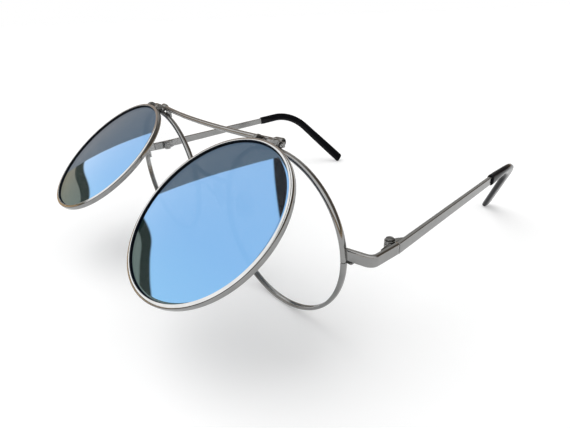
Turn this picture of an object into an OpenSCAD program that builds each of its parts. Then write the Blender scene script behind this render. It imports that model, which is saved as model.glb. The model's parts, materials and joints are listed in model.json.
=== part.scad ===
// Round flip up sunglasses: a wire frame with clear lenses, and two mirrored lenses hinged at the brow.
// The front faces -Y, the temples run back along +Y, and the rims and temple tips stand on z = 0.
// Left is the wearer's left, which is +X. Each sided piece is modelled on the left and mirrored.

/* [Rear rims] */
// Outer diameter of each rear rim
rim_d = 52; // [48:0.5:56]
// Radial thickness of the rear rim wire
rim_wall = 1.1; // [1:0.05:1.5]
// Depth of the rear rim wire, front to back
rim_depth = 2; // [1.8:0.1:2.4]
// Distance between the centres of the two rims
rim_spacing = 72; // [70:0.5:76]
// Turn of each rim back towards its temple, in degrees
wrap = 2; // [0:0.5:4]
// Chamfer on the outer corners of every rim
rim_chamfer = 0.35; // [0.2:0.05:0.45]
// Width of the saw cut that lets a rear rim open for its lens
rim_cut = 0.25; // [0.15:0.05:0.4]

/* [Lenses] */
// Thickness of the clear rear lenses
clear_t = 1.4; // [1.1:0.1:1.7]
// Thickness of the mirrored front lenses
mirror_t = 1.4; // [1.1:0.1:1.7]
// Radius of the curved lens faces
lens_curve = 190; // [150:5:400]
// Depth of the V groove that holds a lens edge
groove_depth = 0.4; // [0.3:0.05:0.5]
// Width of the V groove
groove_w = 0.9; // [0.7:0.05:1]
// Gap between a lens edge and the inside of its rim, beside the V
lens_gap = 0.05; // [0.02:0.01:0.1]

/* [Flip lenses] */
// Outer diameter of each front rim
front_rim_d = 50.8; // [47:0.2:51.5]
// Radial thickness of the front rim wire
front_wall = 1.1; // [1:0.05:1.5]
// Depth of the front rim wire
front_depth = 1.9; // [1.7:0.1:2.2]
// Space between a closed front rim and the rear rim
closed_gap = 0.75; // [0.6:0.05:1.2]
// Angle by which the front lenses stand open, in degrees
flip_up = 53.8; // [0:0.1:90]

/* [Flip hinges] */
// Height of the flip axis above the top of the rear rim
axis_up = 1.2; // [1.15:0.05:1.5]
// Distance of the flip axis in front of the middle of the rear rim
axis_forward = 0.6; // [0.5:0.05:0.8]
// Radius of the barrel that is fixed to the brow bar
barrel_r = 1.45; // [1.3:0.05:1.45]
// Length of the barrel
barrel_len = 3; // [2.4:0.1:3.4]
// Distance of the barrel's inner end from the middle of the rim, towards the nose
barrel_in = 0.6; // [0.4:0.1:1]
// Radius of the round ends of the two lugs
lug_r = 1.05; // [0.95:0.01:1.08]
// Thickness of each lug
lug_t = 1.2; // [1:0.05:1.5]
// Radius of the flip screw
flip_screw_r = 0.55; // [0.45:0.01:0.6]
// Running clearance of a screw in the barrel that turns on it
run_gap = 0.05; // [0.03:0.01:0.08]
// Space between a lug and the barrel
side_gap = 0.1; // [0.06:0.01:0.15]
// Radius of the flip screw's head
flip_head_r = 1; // [0.85:0.05:1.05]
// Length of the flip spring
spring_len = 2.7; // [2.6:0.1:3.2]
// Radius of the spring, to the middle of its wire
spring_r = 0.8; // [0.78:0.01:0.86]
// Diameter of the spring wire
spring_wire = 0.26; // [0.2:0.01:0.28]
// Number of turns in the spring
spring_turns = 3; // [2:1:3]

/* [Brow bar and bridge] */
// Diameter of the brow bar
brow_d = 1.7; // [1.5:0.1:1.8]
// Height of the brow bar's centre above the top of the rear rims
brow_up = 0.9; // [0.9:0.05:1.1]
// Distance of the brow bar behind the rims where it meets the flip hinges
brow_back = 2.1; // [2.1:0.1:2.4]
// Forward bow of the brow bar at its middle
brow_bow = 3; // [2:0.1:3.4]
// Length along the brow bar of the brazed web that joins it to the rim
web_len = 5; // [3:0.5:6]
// Thickness of the brazed web
web_t = 0.8; // [0.6:0.1:0.9]
// Diameter of the nose bridge wire
bridge_d = 1.6; // [1.3:0.1:1.8]
// Height of the nose bridge above the middle of the rims
bridge_up = 8.5; // [5:0.5:12]
// Forward bow of the nose bridge
bridge_bow = 1.6; // [1:0.1:2.5]

/* [Endpieces] */
// Overall width across the endpieces
frame_w = 140.2; // [138.5:0.1:144]
// Thickness of the endpiece strip
strip_t = 1.2; // [1:0.05:1.4]
// Height of the endpiece strip
strip_h = 3.5; // [3.2:0.1:4]
// Height of the middle of the strip above the middle of the rims
strip_up = 2.4; // [1:0.1:5]
// Outer radius of the endpiece's bend
bend_r = 3; // [2:0.1:3.6]
// Angle at which the endpiece leaves the rim, in degrees
root_slope = 14; // [8:0.5:18]
// Distance of the strip's front face behind the middle of the rims, where it leaves the rim
root_back = 1; // [0.8:0.05:1.2]
// Width of the lock block under the strip, along the strip
lock_w = 2.6; // [2.4:0.1:3]
// Depth of the lock block, front to back
lock_depth = 1.9; // [1.8:0.1:2.2]
// Height of the lower lock block
lock_h = 1.5; // [1.2:0.1:2]
// Height of the upper lock block
lock_top_h = 2.3; // [2.1:0.1:2.6]
// Radius of the rim screw
rim_screw_r = 0.5; // [0.4:0.01:0.55]

/* [Temple hinges] */
// Distance of the temple hinge axis behind the middle of the rims
hinge_back = 13.5; // [12.5:0.1:16]
// Distance of the temple hinge axis in from the temple's outer face
hinge_in = 3.1; // [3:0.05:3.4]
// Radius of the hinge knuckles
knuckle_r = 1.45; // [1.3:0.01:1.5]
// Height of the stack of three knuckles
knuckle_h = 3.2; // [3:0.1:3.4]
// Height of the middle knuckle
middle_h = 1.2; // [1:0.05:1.3]
// Radius of the temple screw
temple_screw_r = 0.6; // [0.5:0.01:0.65]
// Thickness of the leaf that carries the middle knuckle
leaf_t = 0.9; // [0.7:0.05:1]
// Length of each hinge leaf
leaf_len = 4.2; // [3.5:0.1:5]
// Space between the endpiece and the temple's front end
butt_gap = 0.1; // [0.06:0.01:0.15]

/* [Temples] */
// Length of the metal bar, from the hinge axis to the tip
bar_len = 60; // [55:1:80]
// Thickness of the bar
bar_t = 1.2; // [1:0.05:1.4]
// Height of the bar at the hinge
bar_h_front = 3.3; // [3.2:0.1:3.6]
// Height of the bar at the tip
bar_h_back = 2.8; // [2.4:0.1:3]
// Angle by which each temple runs inwards, in degrees
temple_in = 3.6; // [2:0.1:5]
// Angle by which each temple rises towards the back, in degrees
temple_rise = 2.2; // [1:0.1:3]
// Radius of the core wire inside the tip
core_r = 0.6; // [0.4:0.05:0.7]

/* [Temple tips] */
// Straight length of the tip before its bend
tip_run = 7.2; // [5:0.1:12]
// Radius of the tip's bend
tip_bend_r = 23; // [18:0.5:28]
// Angle of the tip's bend, in degrees
tip_bend = 54; // [48:1:60]
// Inward lean of the plane in which the tip bends, in degrees
tip_lean = 26.5; // [15:0.5:30]
// Length of the bar that the tip covers
tip_cover = 2.5; // [1.5:0.1:4]
// Thickness of the tip
tip_t = 2.4; // [2.2:0.1:3]
// Height of the tip at its mouth
tip_h_front = 3.9; // [3.8:0.1:4.4]
// Height of the tip at its end
tip_h_back = 5.4; // [4.6:0.1:6]

/* [Nose pads] */
// Height of each nose pad
pad_h = 12.5; // [10:0.5:15]
// Width of each nose pad
pad_w = 6.6; // [5.5:0.1:8]
// Thickness of each nose pad
pad_t = 1.8; // [1.4:0.1:2.4]
// Distance of each nose pad's middle from the near edge of its rim, towards the nose
pad_in = 1.3; // [0:0.1:2.5]
// Distance of the nose pads behind the rims
pad_back = 7; // [6.5:0.1:9]
// Distance of the pads' middles below the middle of the rims
pad_down = 3; // [0:0.5:6]
// Turn of each pad towards the back, in degrees
pad_turn = 30; // [20:1:40]
// Lean of each pad, wider at its foot, in degrees
pad_lean = 12; // [5:1:20]
// Radius of the pad arm wire
arm_r = 0.45; // [0.35:0.05:0.6]
// Thickness of the stem on the back of each pad
stem_t = 0.7; // [0.5:0.05:0.9]
// Radius of the screw on which each pad rocks
pad_screw_r = 0.35; // [0.25:0.01:0.38]
// Space between a pad's back and the fork that holds it
pad_gap = 0.4; // [0.3:0.05:0.6]

/* [Hidden] */

$fn = 48;
ring_fn = 160;
curve_fn = 1440;

// Rear rim and front rim, with the front rim's place seen from the flip axis in its closed position
rim_r = rim_d / 2;
front_r = front_rim_d / 2;
half = rim_spacing / 2;
axis_drop = axis_up + front_r;
axis_out = rim_depth / 2 + closed_gap + front_depth / 2 - axis_forward;

// Brow bar and nose bridge, each an arc in a level plane
brow_r = brow_d / 2;
brow_arc = (half * half + brow_bow * brow_bow) / (2 * brow_bow);
brow_front = brow_back - brow_bow;
brow_turn = asin((half - barrel_in + barrel_len) / brow_arc);
bridge_half = half - sqrt(rim_r * rim_r - bridge_up * bridge_up);
bridge_arc = (bridge_half * bridge_half + bridge_bow * bridge_bow) / (2 * bridge_bow);
bridge_turn = asin((bridge_half + rim_wall) / bridge_arc);

// Places along the flip axis, from the middle of the rim, with the nose on the minus side
barrel_x0 = -barrel_in;
barrel_x1 = barrel_x0 + barrel_len;
spring_x0 = barrel_x0 - side_gap - spring_len;
lug_in_x0 = spring_x0 - lug_t;
lug_out_x0 = barrel_x1 + side_gap;
head_h = 0.6;
slot_w = 0.3;
slot_depth = 0.25;

// Endpiece: the strip leaves the rim at a slope, bends, and runs back to the temple
outer_x = frame_w / 2;
inner_x = outer_x - strip_t;
bend_x = outer_x - bend_r;
root_x = half + rim_r;
bend_y = root_back + (bend_r - (root_x - bend_x) * sin(root_slope)) / cos(root_slope);
root_len = (bend_x - root_x) / cos(root_slope) + bend_r;
strip_foot = strip_up - strip_h / 2;
lock_x = root_x + lock_w / 2 - 0.1;
lock_y = root_back + lock_depth / 2 + 0.2;
lock_screw_head = 0.9;

// Temple hinge
hinge_x = outer_x - hinge_in;
knuckle_gap = 0.05;
end_knuckle_h = (knuckle_h - middle_h) / 2 - knuckle_gap;

// Tip path: straight, round the bend, and straight again until its end reaches the ground
bar_x = hinge_in - bar_t / 2;
tip_sides = 20;
tip_step = 24;
tip_cap = 2;
tip_square = 2.7;
end_reach = 0.44;
end_low = tip_h_back * end_reach * cos(tip_bend) * cos(tip_lean);
bend_drop = tip_bend_r * (1 - cos(tip_bend)) * cos(tip_lean);
bend_reach = bar_len + tip_run + tip_bend_r * sin(tip_bend);
mouth_z = rim_r + strip_up;
steep = sin(tip_bend) * cos(tip_lean) * cos(temple_rise) - cos(tip_bend) * sin(temple_rise);
bend_end_z = mouth_z + bend_reach * sin(temple_rise) - bend_drop * cos(temple_rise);
tip_fall = (bend_end_z - end_low) / steep;
tip_len = tip_run + tip_bend_r * tip_bend * PI / 180 + tip_fall;

// Origin: midway between the foremost edge of the open front rims and the ends of the tips
lean_y = sqrt(pow(sin(wrap), 2) + pow(cos(wrap) * sin(flip_up), 2));
lens_y = axis_forward + axis_drop * sin(flip_up) + axis_out * cos(flip_up);
front_y = -lens_y * cos(wrap) - front_r * lean_y - front_depth / 2 * cos(flip_up);
end_y = bend_reach + tip_fall * cos(tip_bend);
back_y = hinge_back + end_y * cos(temple_in) * cos(temple_rise) + tip_h_back * end_reach * sin(tip_bend);
mid_y = (front_y + back_y) / 2;

// Nose pads: a stem on each pad turns on a screw between the cheeks of a fork
pad_x = half - rim_r - pad_in;
cheek_t = 0.4;
fork_w = stem_t + 2 * run_gap + 2 * cheek_t;
fork_h = 2.2;
stem_r = 0.6;
fork_front = pad_t / 2 + pad_gap;
pad_axis = fork_front + stem_r + run_gap;
fork_back = pad_axis + stem_r + 0.5;
pad_head_r = 0.6;
pad_head_h = 0.35;

// Values from 0 to 1 that start and stop gently
function ease(u) = u <= 0 ? 0 : u >= 1 ? 1 : u * u * (3 - 2 * u);

// Signed power, for rounded rectangles
function spow(v, p) = sign(v) * pow(abs(v), p);

// A ring of points about c in the plane of the unit vectors n and b
function ring(c, n, b, rn, rb, sides, power = 1) =
    [for (k = [0 : sides - 1])
        let (a = 360 * k / sides)
        c + n * rn * spow(cos(a), power) + b * rb * spow(sin(a), power)];

// A closed skin over rings that follow one another
module loft(rings) {
    n = len(rings[0]);
    last = (len(rings) - 1) * n;
    walls = [for (i = [0 : len(rings) - 2]) for (j = [0 : n - 1])
        let (a = i * n + j, b = i * n + (j + 1) % n)
        each [[a, a + n, b + n], [a, b + n, b]]];
    first_cap = [for (j = [1 : n - 2]) [0, j, j + 1]];
    last_cap = [for (j = [1 : n - 2]) [last, last + j + 1, last + j]];
    polyhedron([for (r = rings) each r], concat(walls, first_cap, last_cap));
}

// Place of the left rim, of the closed front rim on its flip axis, and of the temple
module at_rim() translate([half, 0, rim_r]) rotate([0, 0, wrap]) children();
module at_flip() at_rim() translate([0, -axis_forward, rim_r + axis_up])
    rotate([-flip_up, 0, 0]) children();
module at_hinge() translate([hinge_x, hinge_back, rim_r + strip_up]) children();
module at_bar() at_hinge() rotate([0, 0, temple_in]) rotate([temple_rise, 0, 0]) children();

// The whole thing on its origin, and the left or right copy of a piece
module stand() translate([0, -mid_y, 0]) children();
module left() stand() children();
module right() stand() mirror([1, 0, 0]) children();

// Wire section of a rim, with its V groove inside
module rim_section(r, wall, depth) {
    d = depth / 2;
    polygon([
        [r - wall, -d], [r - rim_chamfer, -d], [r, -d + rim_chamfer], [r, d - rim_chamfer],
        [r - rim_chamfer, d], [r - wall, d], [r - wall, groove_w / 2],
        [r - wall + groove_depth, 0], [r - wall, -groove_w / 2]
    ]);
}
module rim_ring(r, wall, depth)
    rotate([90, 0, 0]) rotate_extrude($fn = ring_fn) rim_section(r, wall, depth);

// Curved lens of even thickness, with the V on its edge
module lens(r, wall, t) {
    edge = r - wall;
    centre = sqrt(lens_curve * lens_curve - edge * edge);
    rotate([90, 0, 0]) rotate_extrude($fn = ring_fn) intersection() {
        difference() {
            translate([0, t / 2 - centre]) circle(lens_curve, $fn = curve_fn);
            translate([0, -t / 2 - centre]) circle(lens_curve, $fn = curve_fn);
        }
        polygon([
            [0, -t], [edge - lens_gap, -t], [edge - lens_gap, -groove_w / 2],
            [edge + groove_depth - lens_gap, 0], [edge - lens_gap, groove_w / 2],
            [edge - lens_gap, t], [0, 6 * t]
        ]);
    }
}

// Solid disc over a rear rim, which trims what is joined to the rim's outer edge
module rim_disc() at_rim() rotate([90, 0, 0])
    cylinder(r = rim_r, h = 12, center = true, $fn = ring_fn);

module screw(r, length, head_r) {
    cylinder(r = r, h = length);
    translate([0, 0, length]) difference() {
        cylinder(r = head_r, h = head_h);
        translate([-head_r - 1, -slot_w / 2, head_h - slot_depth])
            cube([2 * head_r + 2, slot_w, slot_depth + 1]);
    }
}

module rear_rim() color("silver") at_rim() difference() {
    rim_ring(rim_r, rim_wall, rim_depth);
    translate([rim_r - rim_wall - 1, -rim_depth, strip_foot - rim_cut])
        cube([rim_wall + 2, 2 * rim_depth, rim_cut]);
}

module clear_lens() color([0.9, 0.95, 0.97, 0.3]) at_rim() lens(rim_r, rim_wall, clear_t);

module brow_arc_bar(turn) translate([0, brow_front + brow_arc, rim_d + brow_up])
    rotate([0, 0, -90 - turn]) rotate_extrude(angle = 2 * turn, $fn = 720)
        translate([brow_arc, 0]) circle(brow_r, $fn = 32);

module brow_bar() color("silver") brow_arc_bar(brow_turn);

module brow_web() color("silver") difference() {
    at_rim() translate([lug_in_x0 - side_gap - web_len, rim_depth / 2 - web_t, 0])
        cube([web_len, web_t, rim_r + brow_up]);
    rim_disc();
    brow_arc_bar(brow_turn);
}

module nose_bridge() color("silver") difference() {
    translate([0, bridge_arc - bridge_bow, rim_r + bridge_up])
        rotate([0, 0, -90 - bridge_turn]) rotate_extrude(angle = 2 * bridge_turn, $fn = 240)
            translate([bridge_arc, 0]) circle(bridge_d / 2, $fn = 32);
    rim_disc();
    mirror([1, 0, 0]) rim_disc();
}

// Outline of the endpiece strip from above
module strip_plan() {
    translate([bend_x, bend_y]) rotate(root_slope) translate([-root_len, -bend_r])
        square([root_len, strip_t]);
    translate([bend_x, bend_y]) intersection() {
        difference() {
            circle(bend_r, $fn = 96);
            circle(bend_r - strip_t, $fn = 96);
        }
        polygon([
            [0, 0], 2 * bend_r * [sin(root_slope), -cos(root_slope)],
            2 * bend_r * [1, -1], [2 * bend_r, 0]
        ]);
    }
    translate([inner_x, bend_y]) square([strip_t, hinge_back - bend_y]);
}

module lock_block(z, h) translate([lock_x - lock_w / 2, lock_y - lock_depth / 2, z])
    cube([lock_w, lock_depth, h]);

module endpiece() color("silver") difference() {
    union() {
        translate([0, 0, rim_r + strip_foot]) linear_extrude(strip_h) strip_plan();
        lock_block(rim_r + strip_foot, lock_top_h);
    }
    rim_disc();
    translate([lock_x, lock_y, rim_r + strip_foot - 1])
        cylinder(r = rim_screw_r, h = lock_top_h - 0.4 + 1);
}

module rim_lock() color("silver") difference() {
    lock_block(rim_r + strip_foot - rim_cut - lock_h, lock_h);
    rim_disc();
    translate([lock_x, lock_y, rim_r + strip_foot - rim_cut - lock_h - 1])
        cylinder(r = rim_screw_r, h = lock_h + 2);
}

module rim_screw() color("gray")
    translate([lock_x, lock_y, rim_r + strip_foot + lock_top_h - 0.5]) rotate([180, 0, 0])
        screw(rim_screw_r, lock_top_h - 0.5 + rim_cut + lock_h, lock_screw_head);

// Middle knuckle of the temple hinge, on a leaf behind the endpiece
module front_leaf() color("silver") at_hinge() difference() {
    union() {
        cylinder(r = knuckle_r, h = middle_h, center = true);
        translate([0, -knuckle_r, -middle_h / 2])
            cube([hinge_in - strip_t, knuckle_r, middle_h]);
        translate([hinge_in - strip_t - leaf_t, -knuckle_r - leaf_len, -knuckle_h / 2])
            cube([leaf_t, leaf_len, knuckle_h]);
        translate([hinge_in - strip_t - leaf_t, -knuckle_r - 1, -middle_h / 2])
            cube([leaf_t, knuckle_r + 1, middle_h]);
    }
    cylinder(r = temple_screw_r + run_gap, h = knuckle_h, center = true);
}

// Barrel of the flip hinge, on a foot that sits on the rim and takes the end of the brow bar
module flip_barrel() color("silver") difference() {
    at_rim() translate([barrel_x0, -axis_forward, rim_r + axis_up]) difference() {
        union() {
            rotate([0, 90, 0]) cylinder(r = barrel_r, h = barrel_len);
            translate([0, 0, -axis_up - 0.5])
                cube([barrel_len, axis_forward + brow_back + 0.4, axis_up + 0.5 + barrel_r * 0.6]);
        }
        translate([-1, 0, 0]) rotate([0, 90, 0])
            cylinder(r = flip_screw_r + run_gap, h = barrel_len + 2);
    }
    rim_disc();
    brow_arc_bar(brow_turn + 1);
}

module front_rim() color("silver") at_flip() translate([0, -axis_out, -axis_drop])
    rim_ring(front_r, front_wall, front_depth);

module mirror_lens() color([0.45, 0.65, 0.8]) at_flip() translate([0, -axis_out, -axis_drop])
    lens(front_r, front_wall, mirror_t);

// One lug: a round end on the flip axis and an arm that reaches down to the top of the front rim
module lug(x) translate([x, 0, 0]) difference() {
    union() {
        rotate([0, 90, 0]) cylinder(r = lug_r, h = lug_t);
        rotate([90, 0, 90]) linear_extrude(lug_t) polygon([
            [0, 0], [-0.2, lug_r * 0.98], [-lug_r - 0.2, lug_r * 0.85],
            [-axis_out - front_depth * 0.4, -0.5], [-axis_out - front_depth * 0.4, -axis_up - 1],
            [-axis_out + front_depth * 0.45, -axis_up - 1], [-lug_r * 0.75, -lug_r * 0.65]
        ]);
    }
    translate([-1, 0, 0]) rotate([0, 90, 0]) cylinder(r = flip_screw_r, h = lug_t + 2);
    translate([-x, -axis_out, -axis_drop]) rotate([90, 0, 0])
        cylinder(r = front_r, h = 12, center = true, $fn = ring_fn);
}

module inner_lug() color("silver") at_flip() lug(lug_in_x0);
module outer_lug() color("silver") at_flip() lug(lug_out_x0);

module flip_screw() color("gray") at_flip() translate([lug_in_x0 - 0.2, 0, 0]) rotate([0, 90, 0])
    screw(flip_screw_r, lug_out_x0 + lug_t - lug_in_x0 + 0.2, flip_head_r);

// Spring wire: its turns wind about the flip axis, and its ends run straight along it for one wire's width
coil_x0 = spring_x0 + spring_wire;
coil_len = spring_len - 2 * spring_wire - side_gap;
coil_steps = 8 * spring_turns;
coil_path = [
    [spring_x0, spring_r, 0],
    for (i = [0 : coil_steps])
        let (a = 45 * i)
        [coil_x0 + coil_len * i / coil_steps, spring_r * cos(a), spring_r * sin(a)],
    [spring_x0 + spring_len - side_gap, spring_r, 0]
];
coil_last = len(coil_path) - 1;
coil_gap = min([for (i = [1 : coil_steps - 7]) norm(coil_path[i + 8] - coil_path[i])]) - spring_wire;
echo("flip spring, least gap between turns", coil_gap);
function coil_out(i) = let (a = 45 * max(0, min(coil_steps, i - 1))) [0, cos(a), sin(a)];
function coil_across(i) =
    i == 0 || i == coil_last ? [0, 0, -1] : i == 1 || i == coil_last - 1 ? [1, 0, -1] : [1, 0, 0];

module flip_spring() color("gray") at_flip() loft([
    for (i = [0 : coil_last])
        ring(coil_path[i], coil_across(i), coil_out(i), spring_wire / 2, spring_wire / 2, 6)
]);

// Bend angle at a distance along the tip, and the tip's centre there, seen from the hinge
function tip_angle(s) = max(0, min(tip_bend, (s - tip_run) / tip_bend_r * 180 / PI));
function tip_point(s) =
    let (a = tip_angle(s),
        rest = max(0, s - tip_run - tip_bend_r * tip_bend * PI / 180),
        down = tip_bend_r * (1 - cos(a)) + rest * sin(a),
        along = min(s, tip_run) + tip_bend_r * sin(a) + rest * cos(a))
    [bar_x - down * sin(tip_lean), bar_len + along, -down * cos(tip_lean)];

// A section of the tip, which twists from the upright bar into the plane of the bend
function tip_ring(s, t, h, sides, power) =
    let (a = tip_angle(s),
        lean = tip_lean * ease((s + tip_cover) / (tip_run + 6)),
        down = [-sin(lean), 0, -cos(lean)],
        n = [0, 1, 0] * sin(a) - down * cos(a),
        b = [cos(lean), 0, -sin(lean)])
    ring(tip_point(s), n, b, h / 2, t / 2, sides, power);

// Share of the full section that is left at a distance from the rounded end
function cap_share(s) =
    let (u = (s - tip_len + tip_cap) / tip_cap) u <= 0 ? 1 : pow(1 - pow(min(u, 0.985), 2.6), 1 / 2.6);

module tip_skin() loft([
    for (i = [0 : tip_step + 6])
        let (s = i <= tip_step ? -tip_cover + (tip_len - tip_cap + tip_cover) * i / tip_step
                : tip_len - tip_cap + tip_cap * sin(90 * (i - tip_step) / 6),
            h = tip_h_front + (tip_h_back - tip_h_front) * ease((s - tip_run) / (tip_len - tip_run)),
            k = cap_share(s))
        tip_ring(s, tip_t * k, h - (1 - k) * tip_t, tip_sides, 2 / tip_square)
]);

module core_wire(grow) loft([
    for (i = [0 : 18])
        let (s = -0.5 + (tip_len * 0.8 + grow) * i / 18)
        tip_ring(s, 2 * (core_r + grow), 2 * (core_r + grow), 10, 1)
]);

module bar_shape(grow) translate([bar_x - bar_t / 2 - grow, 0, 0]) rotate([90, 0, 90])
    linear_extrude(bar_t + 2 * grow) polygon([
        [butt_gap, -bar_h_front / 2 - grow], [bar_len, -bar_h_back / 2 - grow],
        [bar_len, bar_h_back / 2 + grow], [butt_gap, bar_h_front / 2 + grow]
    ]);

module temple_bar() color("silver") at_bar() {
    bar_shape(0);
    core_wire(0);
}

module temple_tip() color([0.05, 0.05, 0.06]) at_bar() difference() {
    tip_skin();
    bar_shape(0.02);
    core_wire(0.03);
}

// Upper and lower knuckles of the temple hinge, on a wedge against the inside of the bar
module temple_leaf() color("silver") at_hinge() difference() {
    union() {
        for (z = [-knuckle_h / 2, knuckle_h / 2 - end_knuckle_h])
            translate([0, 0, z]) cylinder(r = knuckle_r, h = end_knuckle_h);
        translate([0, 0, -knuckle_h / 2]) linear_extrude(knuckle_h) polygon([
            [0, butt_gap], [hinge_in - bar_t, butt_gap],
            [hinge_in - bar_t - leaf_len * sin(temple_in), leaf_len], [0, knuckle_r]
        ]);
    }
    cylinder(r = temple_screw_r, h = knuckle_h + 1, center = true);
    cylinder(r = knuckle_r + knuckle_gap, h = middle_h + 2 * knuckle_gap, center = true);
    rotate([0, 0, temple_in]) rotate([temple_rise, 0, 0]) bar_shape(0);
}

module temple_screw() color("gray") at_hinge() translate([0, 0, -knuckle_h / 2])
    screw(temple_screw_r, knuckle_h, knuckle_r * 0.75);

// Place of a nose pad: its own X points away from the nose
module at_pad() translate([pad_x, pad_back, rim_r - pad_down]) rotate([0, 0, -pad_turn])
    rotate([0, pad_lean, 0]) children();

// Point of the pad's own frame as seen from the middle of the left rim's place
function pad_to_part(p) =
    let (x = p[0] * cos(pad_lean) + p[2] * sin(pad_lean), z = -p[0] * sin(pad_lean) + p[2] * cos(pad_lean))
    [pad_x + x * cos(pad_turn) + p[1] * sin(pad_turn), pad_back - x * sin(pad_turn) + p[1] * cos(pad_turn),
        rim_r - pad_down + z];

// Arm wire: a smooth curve from the back of the rim to the pad box
arm_up = 2;
arm_swing = 2.4;
arm_sink = 0.2;
arm_rim = rim_r - rim_wall / 2;
arm_start = [half, 0, rim_r] + [
    -sqrt(arm_rim * arm_rim - arm_up * arm_up) * cos(wrap) - rim_depth / 2 * sin(wrap),
    -sqrt(arm_rim * arm_rim - arm_up * arm_up) * sin(wrap) + rim_depth / 2 * cos(wrap), arm_up];
arm_end = pad_to_part([fork_back - arm_sink, 0, 0]);
arm_a = arm_start + [-4 * sin(wrap), 4 * cos(wrap), 0];
arm_b = pad_to_part([fork_back + arm_swing, 0, 0.6 * arm_swing]);
function arm_point(u) =
    pow(1 - u, 3) * arm_start + 3 * u * pow(1 - u, 2) * arm_a + 3 * u * u * (1 - u) * arm_b + pow(u, 3) * arm_end;
function arm_dir(u) =
    let (d = pow(1 - u, 2) * (arm_a - arm_start) + 2 * u * (1 - u) * (arm_b - arm_a) + u * u * (arm_end - arm_b))
    d / norm(d);
function arm_side(u) = let (c = cross(arm_dir(u), [1, 0, 0.2])) c / norm(c);

// Bore for the pad screw, through the stem or the fork
module pad_bore(r) translate([pad_axis, 0, 0]) rotate([90, 0, 0])
    cylinder(r = r, h = fork_w + 2, center = true, $fn = 24);

module pad_arm() color("silver") {
    loft([for (i = [0 : 14]) let (u = i / 14)
        ring(arm_point(u), arm_side(u), cross(arm_dir(u), arm_side(u)), arm_r, arm_r, 8)]);
    at_pad() difference() {
        translate([fork_front, -fork_w / 2, -fork_h / 2])
            cube([fork_back - fork_front, fork_w, fork_h]);
        translate([fork_front - 1, -stem_t / 2 - run_gap, -fork_h / 2 - 1])
            cube([pad_axis + stem_r + run_gap - fork_front + 1, stem_t + 2 * run_gap, fork_h + 2]);
        pad_bore(pad_screw_r);
    }
}

module nose_pad() color([0.92, 0.93, 0.92, 0.6]) at_pad() {
    hull() {
        translate([0, 0, pad_h / 2 - pad_w * 0.4]) scale([pad_t / 2, pad_w * 0.4, pad_w * 0.4])
            sphere(1, $fn = 28);
        translate([0, 0, pad_w / 2 - pad_h / 2]) scale([pad_t / 2, pad_w / 2, pad_w / 2])
            sphere(1, $fn = 28);
    }
    difference() {
        union() {
            translate([0, -stem_t / 2, -stem_r]) cube([pad_axis, stem_t, 2 * stem_r]);
            translate([pad_axis, 0, 0]) rotate([90, 0, 0])
                cylinder(r = stem_r, h = stem_t, center = true);
        }
        pad_bore(pad_screw_r + run_gap);
    }
}

module pad_screw() color("gray") at_pad() translate([pad_axis, 0, 0]) rotate([90, 0, 0]) {
    cylinder(r = pad_screw_r, h = fork_w, center = true, $fn = 24);
    translate([0, 0, fork_w / 2]) cylinder(r = pad_head_r, h = pad_head_h, $fn = 24);
}

left() rear_rim();  // rear_rim_left
right() rear_rim();  // rear_rim_right
left() clear_lens();  // clear_lens_left
right() clear_lens();  // clear_lens_right
stand() brow_bar();
left() brow_web();  // brow_web_left
right() brow_web();  // brow_web_right
stand() nose_bridge();
left() endpiece();  // endpiece_left
right() endpiece();  // endpiece_right
left() rim_lock();  // rim_lock_left
right() rim_lock();  // rim_lock_right
left() rim_screw();  // rim_screw_left
right() rim_screw();  // rim_screw_right
left() front_leaf();  // front_leaf_left
right() front_leaf();  // front_leaf_right
left() flip_barrel();  // flip_barrel_left
right() flip_barrel();  // flip_barrel_right
left() pad_arm();  // pad_arm_left
right() pad_arm();  // pad_arm_right
left() nose_pad();  // nose_pad_left
right() nose_pad();  // nose_pad_right
left() pad_screw();  // pad_screw_left
right() pad_screw();  // pad_screw_right
left() front_rim();  // front_rim_left
right() front_rim();  // front_rim_right
left() mirror_lens();  // mirror_lens_left
right() mirror_lens();  // mirror_lens_right
left() inner_lug();  // inner_lug_left
right() inner_lug();  // inner_lug_right
left() outer_lug();  // outer_lug_left
right() outer_lug();  // outer_lug_right
left() flip_screw();  // flip_screw_left
right() flip_screw();  // flip_screw_right
left() flip_spring();  // flip_spring_left
right() flip_spring();  // flip_spring_right
left() temple_bar();  // temple_bar_left
right() temple_bar();  // temple_bar_right
left() temple_leaf();  // temple_leaf_left
right() temple_leaf();  // temple_leaf_right
left() temple_screw();  // temple_screw_left
right() temple_screw();  // temple_screw_right
left() temple_tip();  // temple_tip_left
right() temple_tip();  // temple_tip_right
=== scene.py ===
"""Looks of round wire-frame flip up sunglasses.

Every piece is a finished surface worked out here in millimetres, on the wearer's left (+X), and
then mirrored to the right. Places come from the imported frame: its joints say where the flip
hinges and the temple hinges are, and its boxes how large and how high the rims are.
"""
import json
import math

import bpy
import numpy as np
from mathutils import Matrix, Vector


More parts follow.
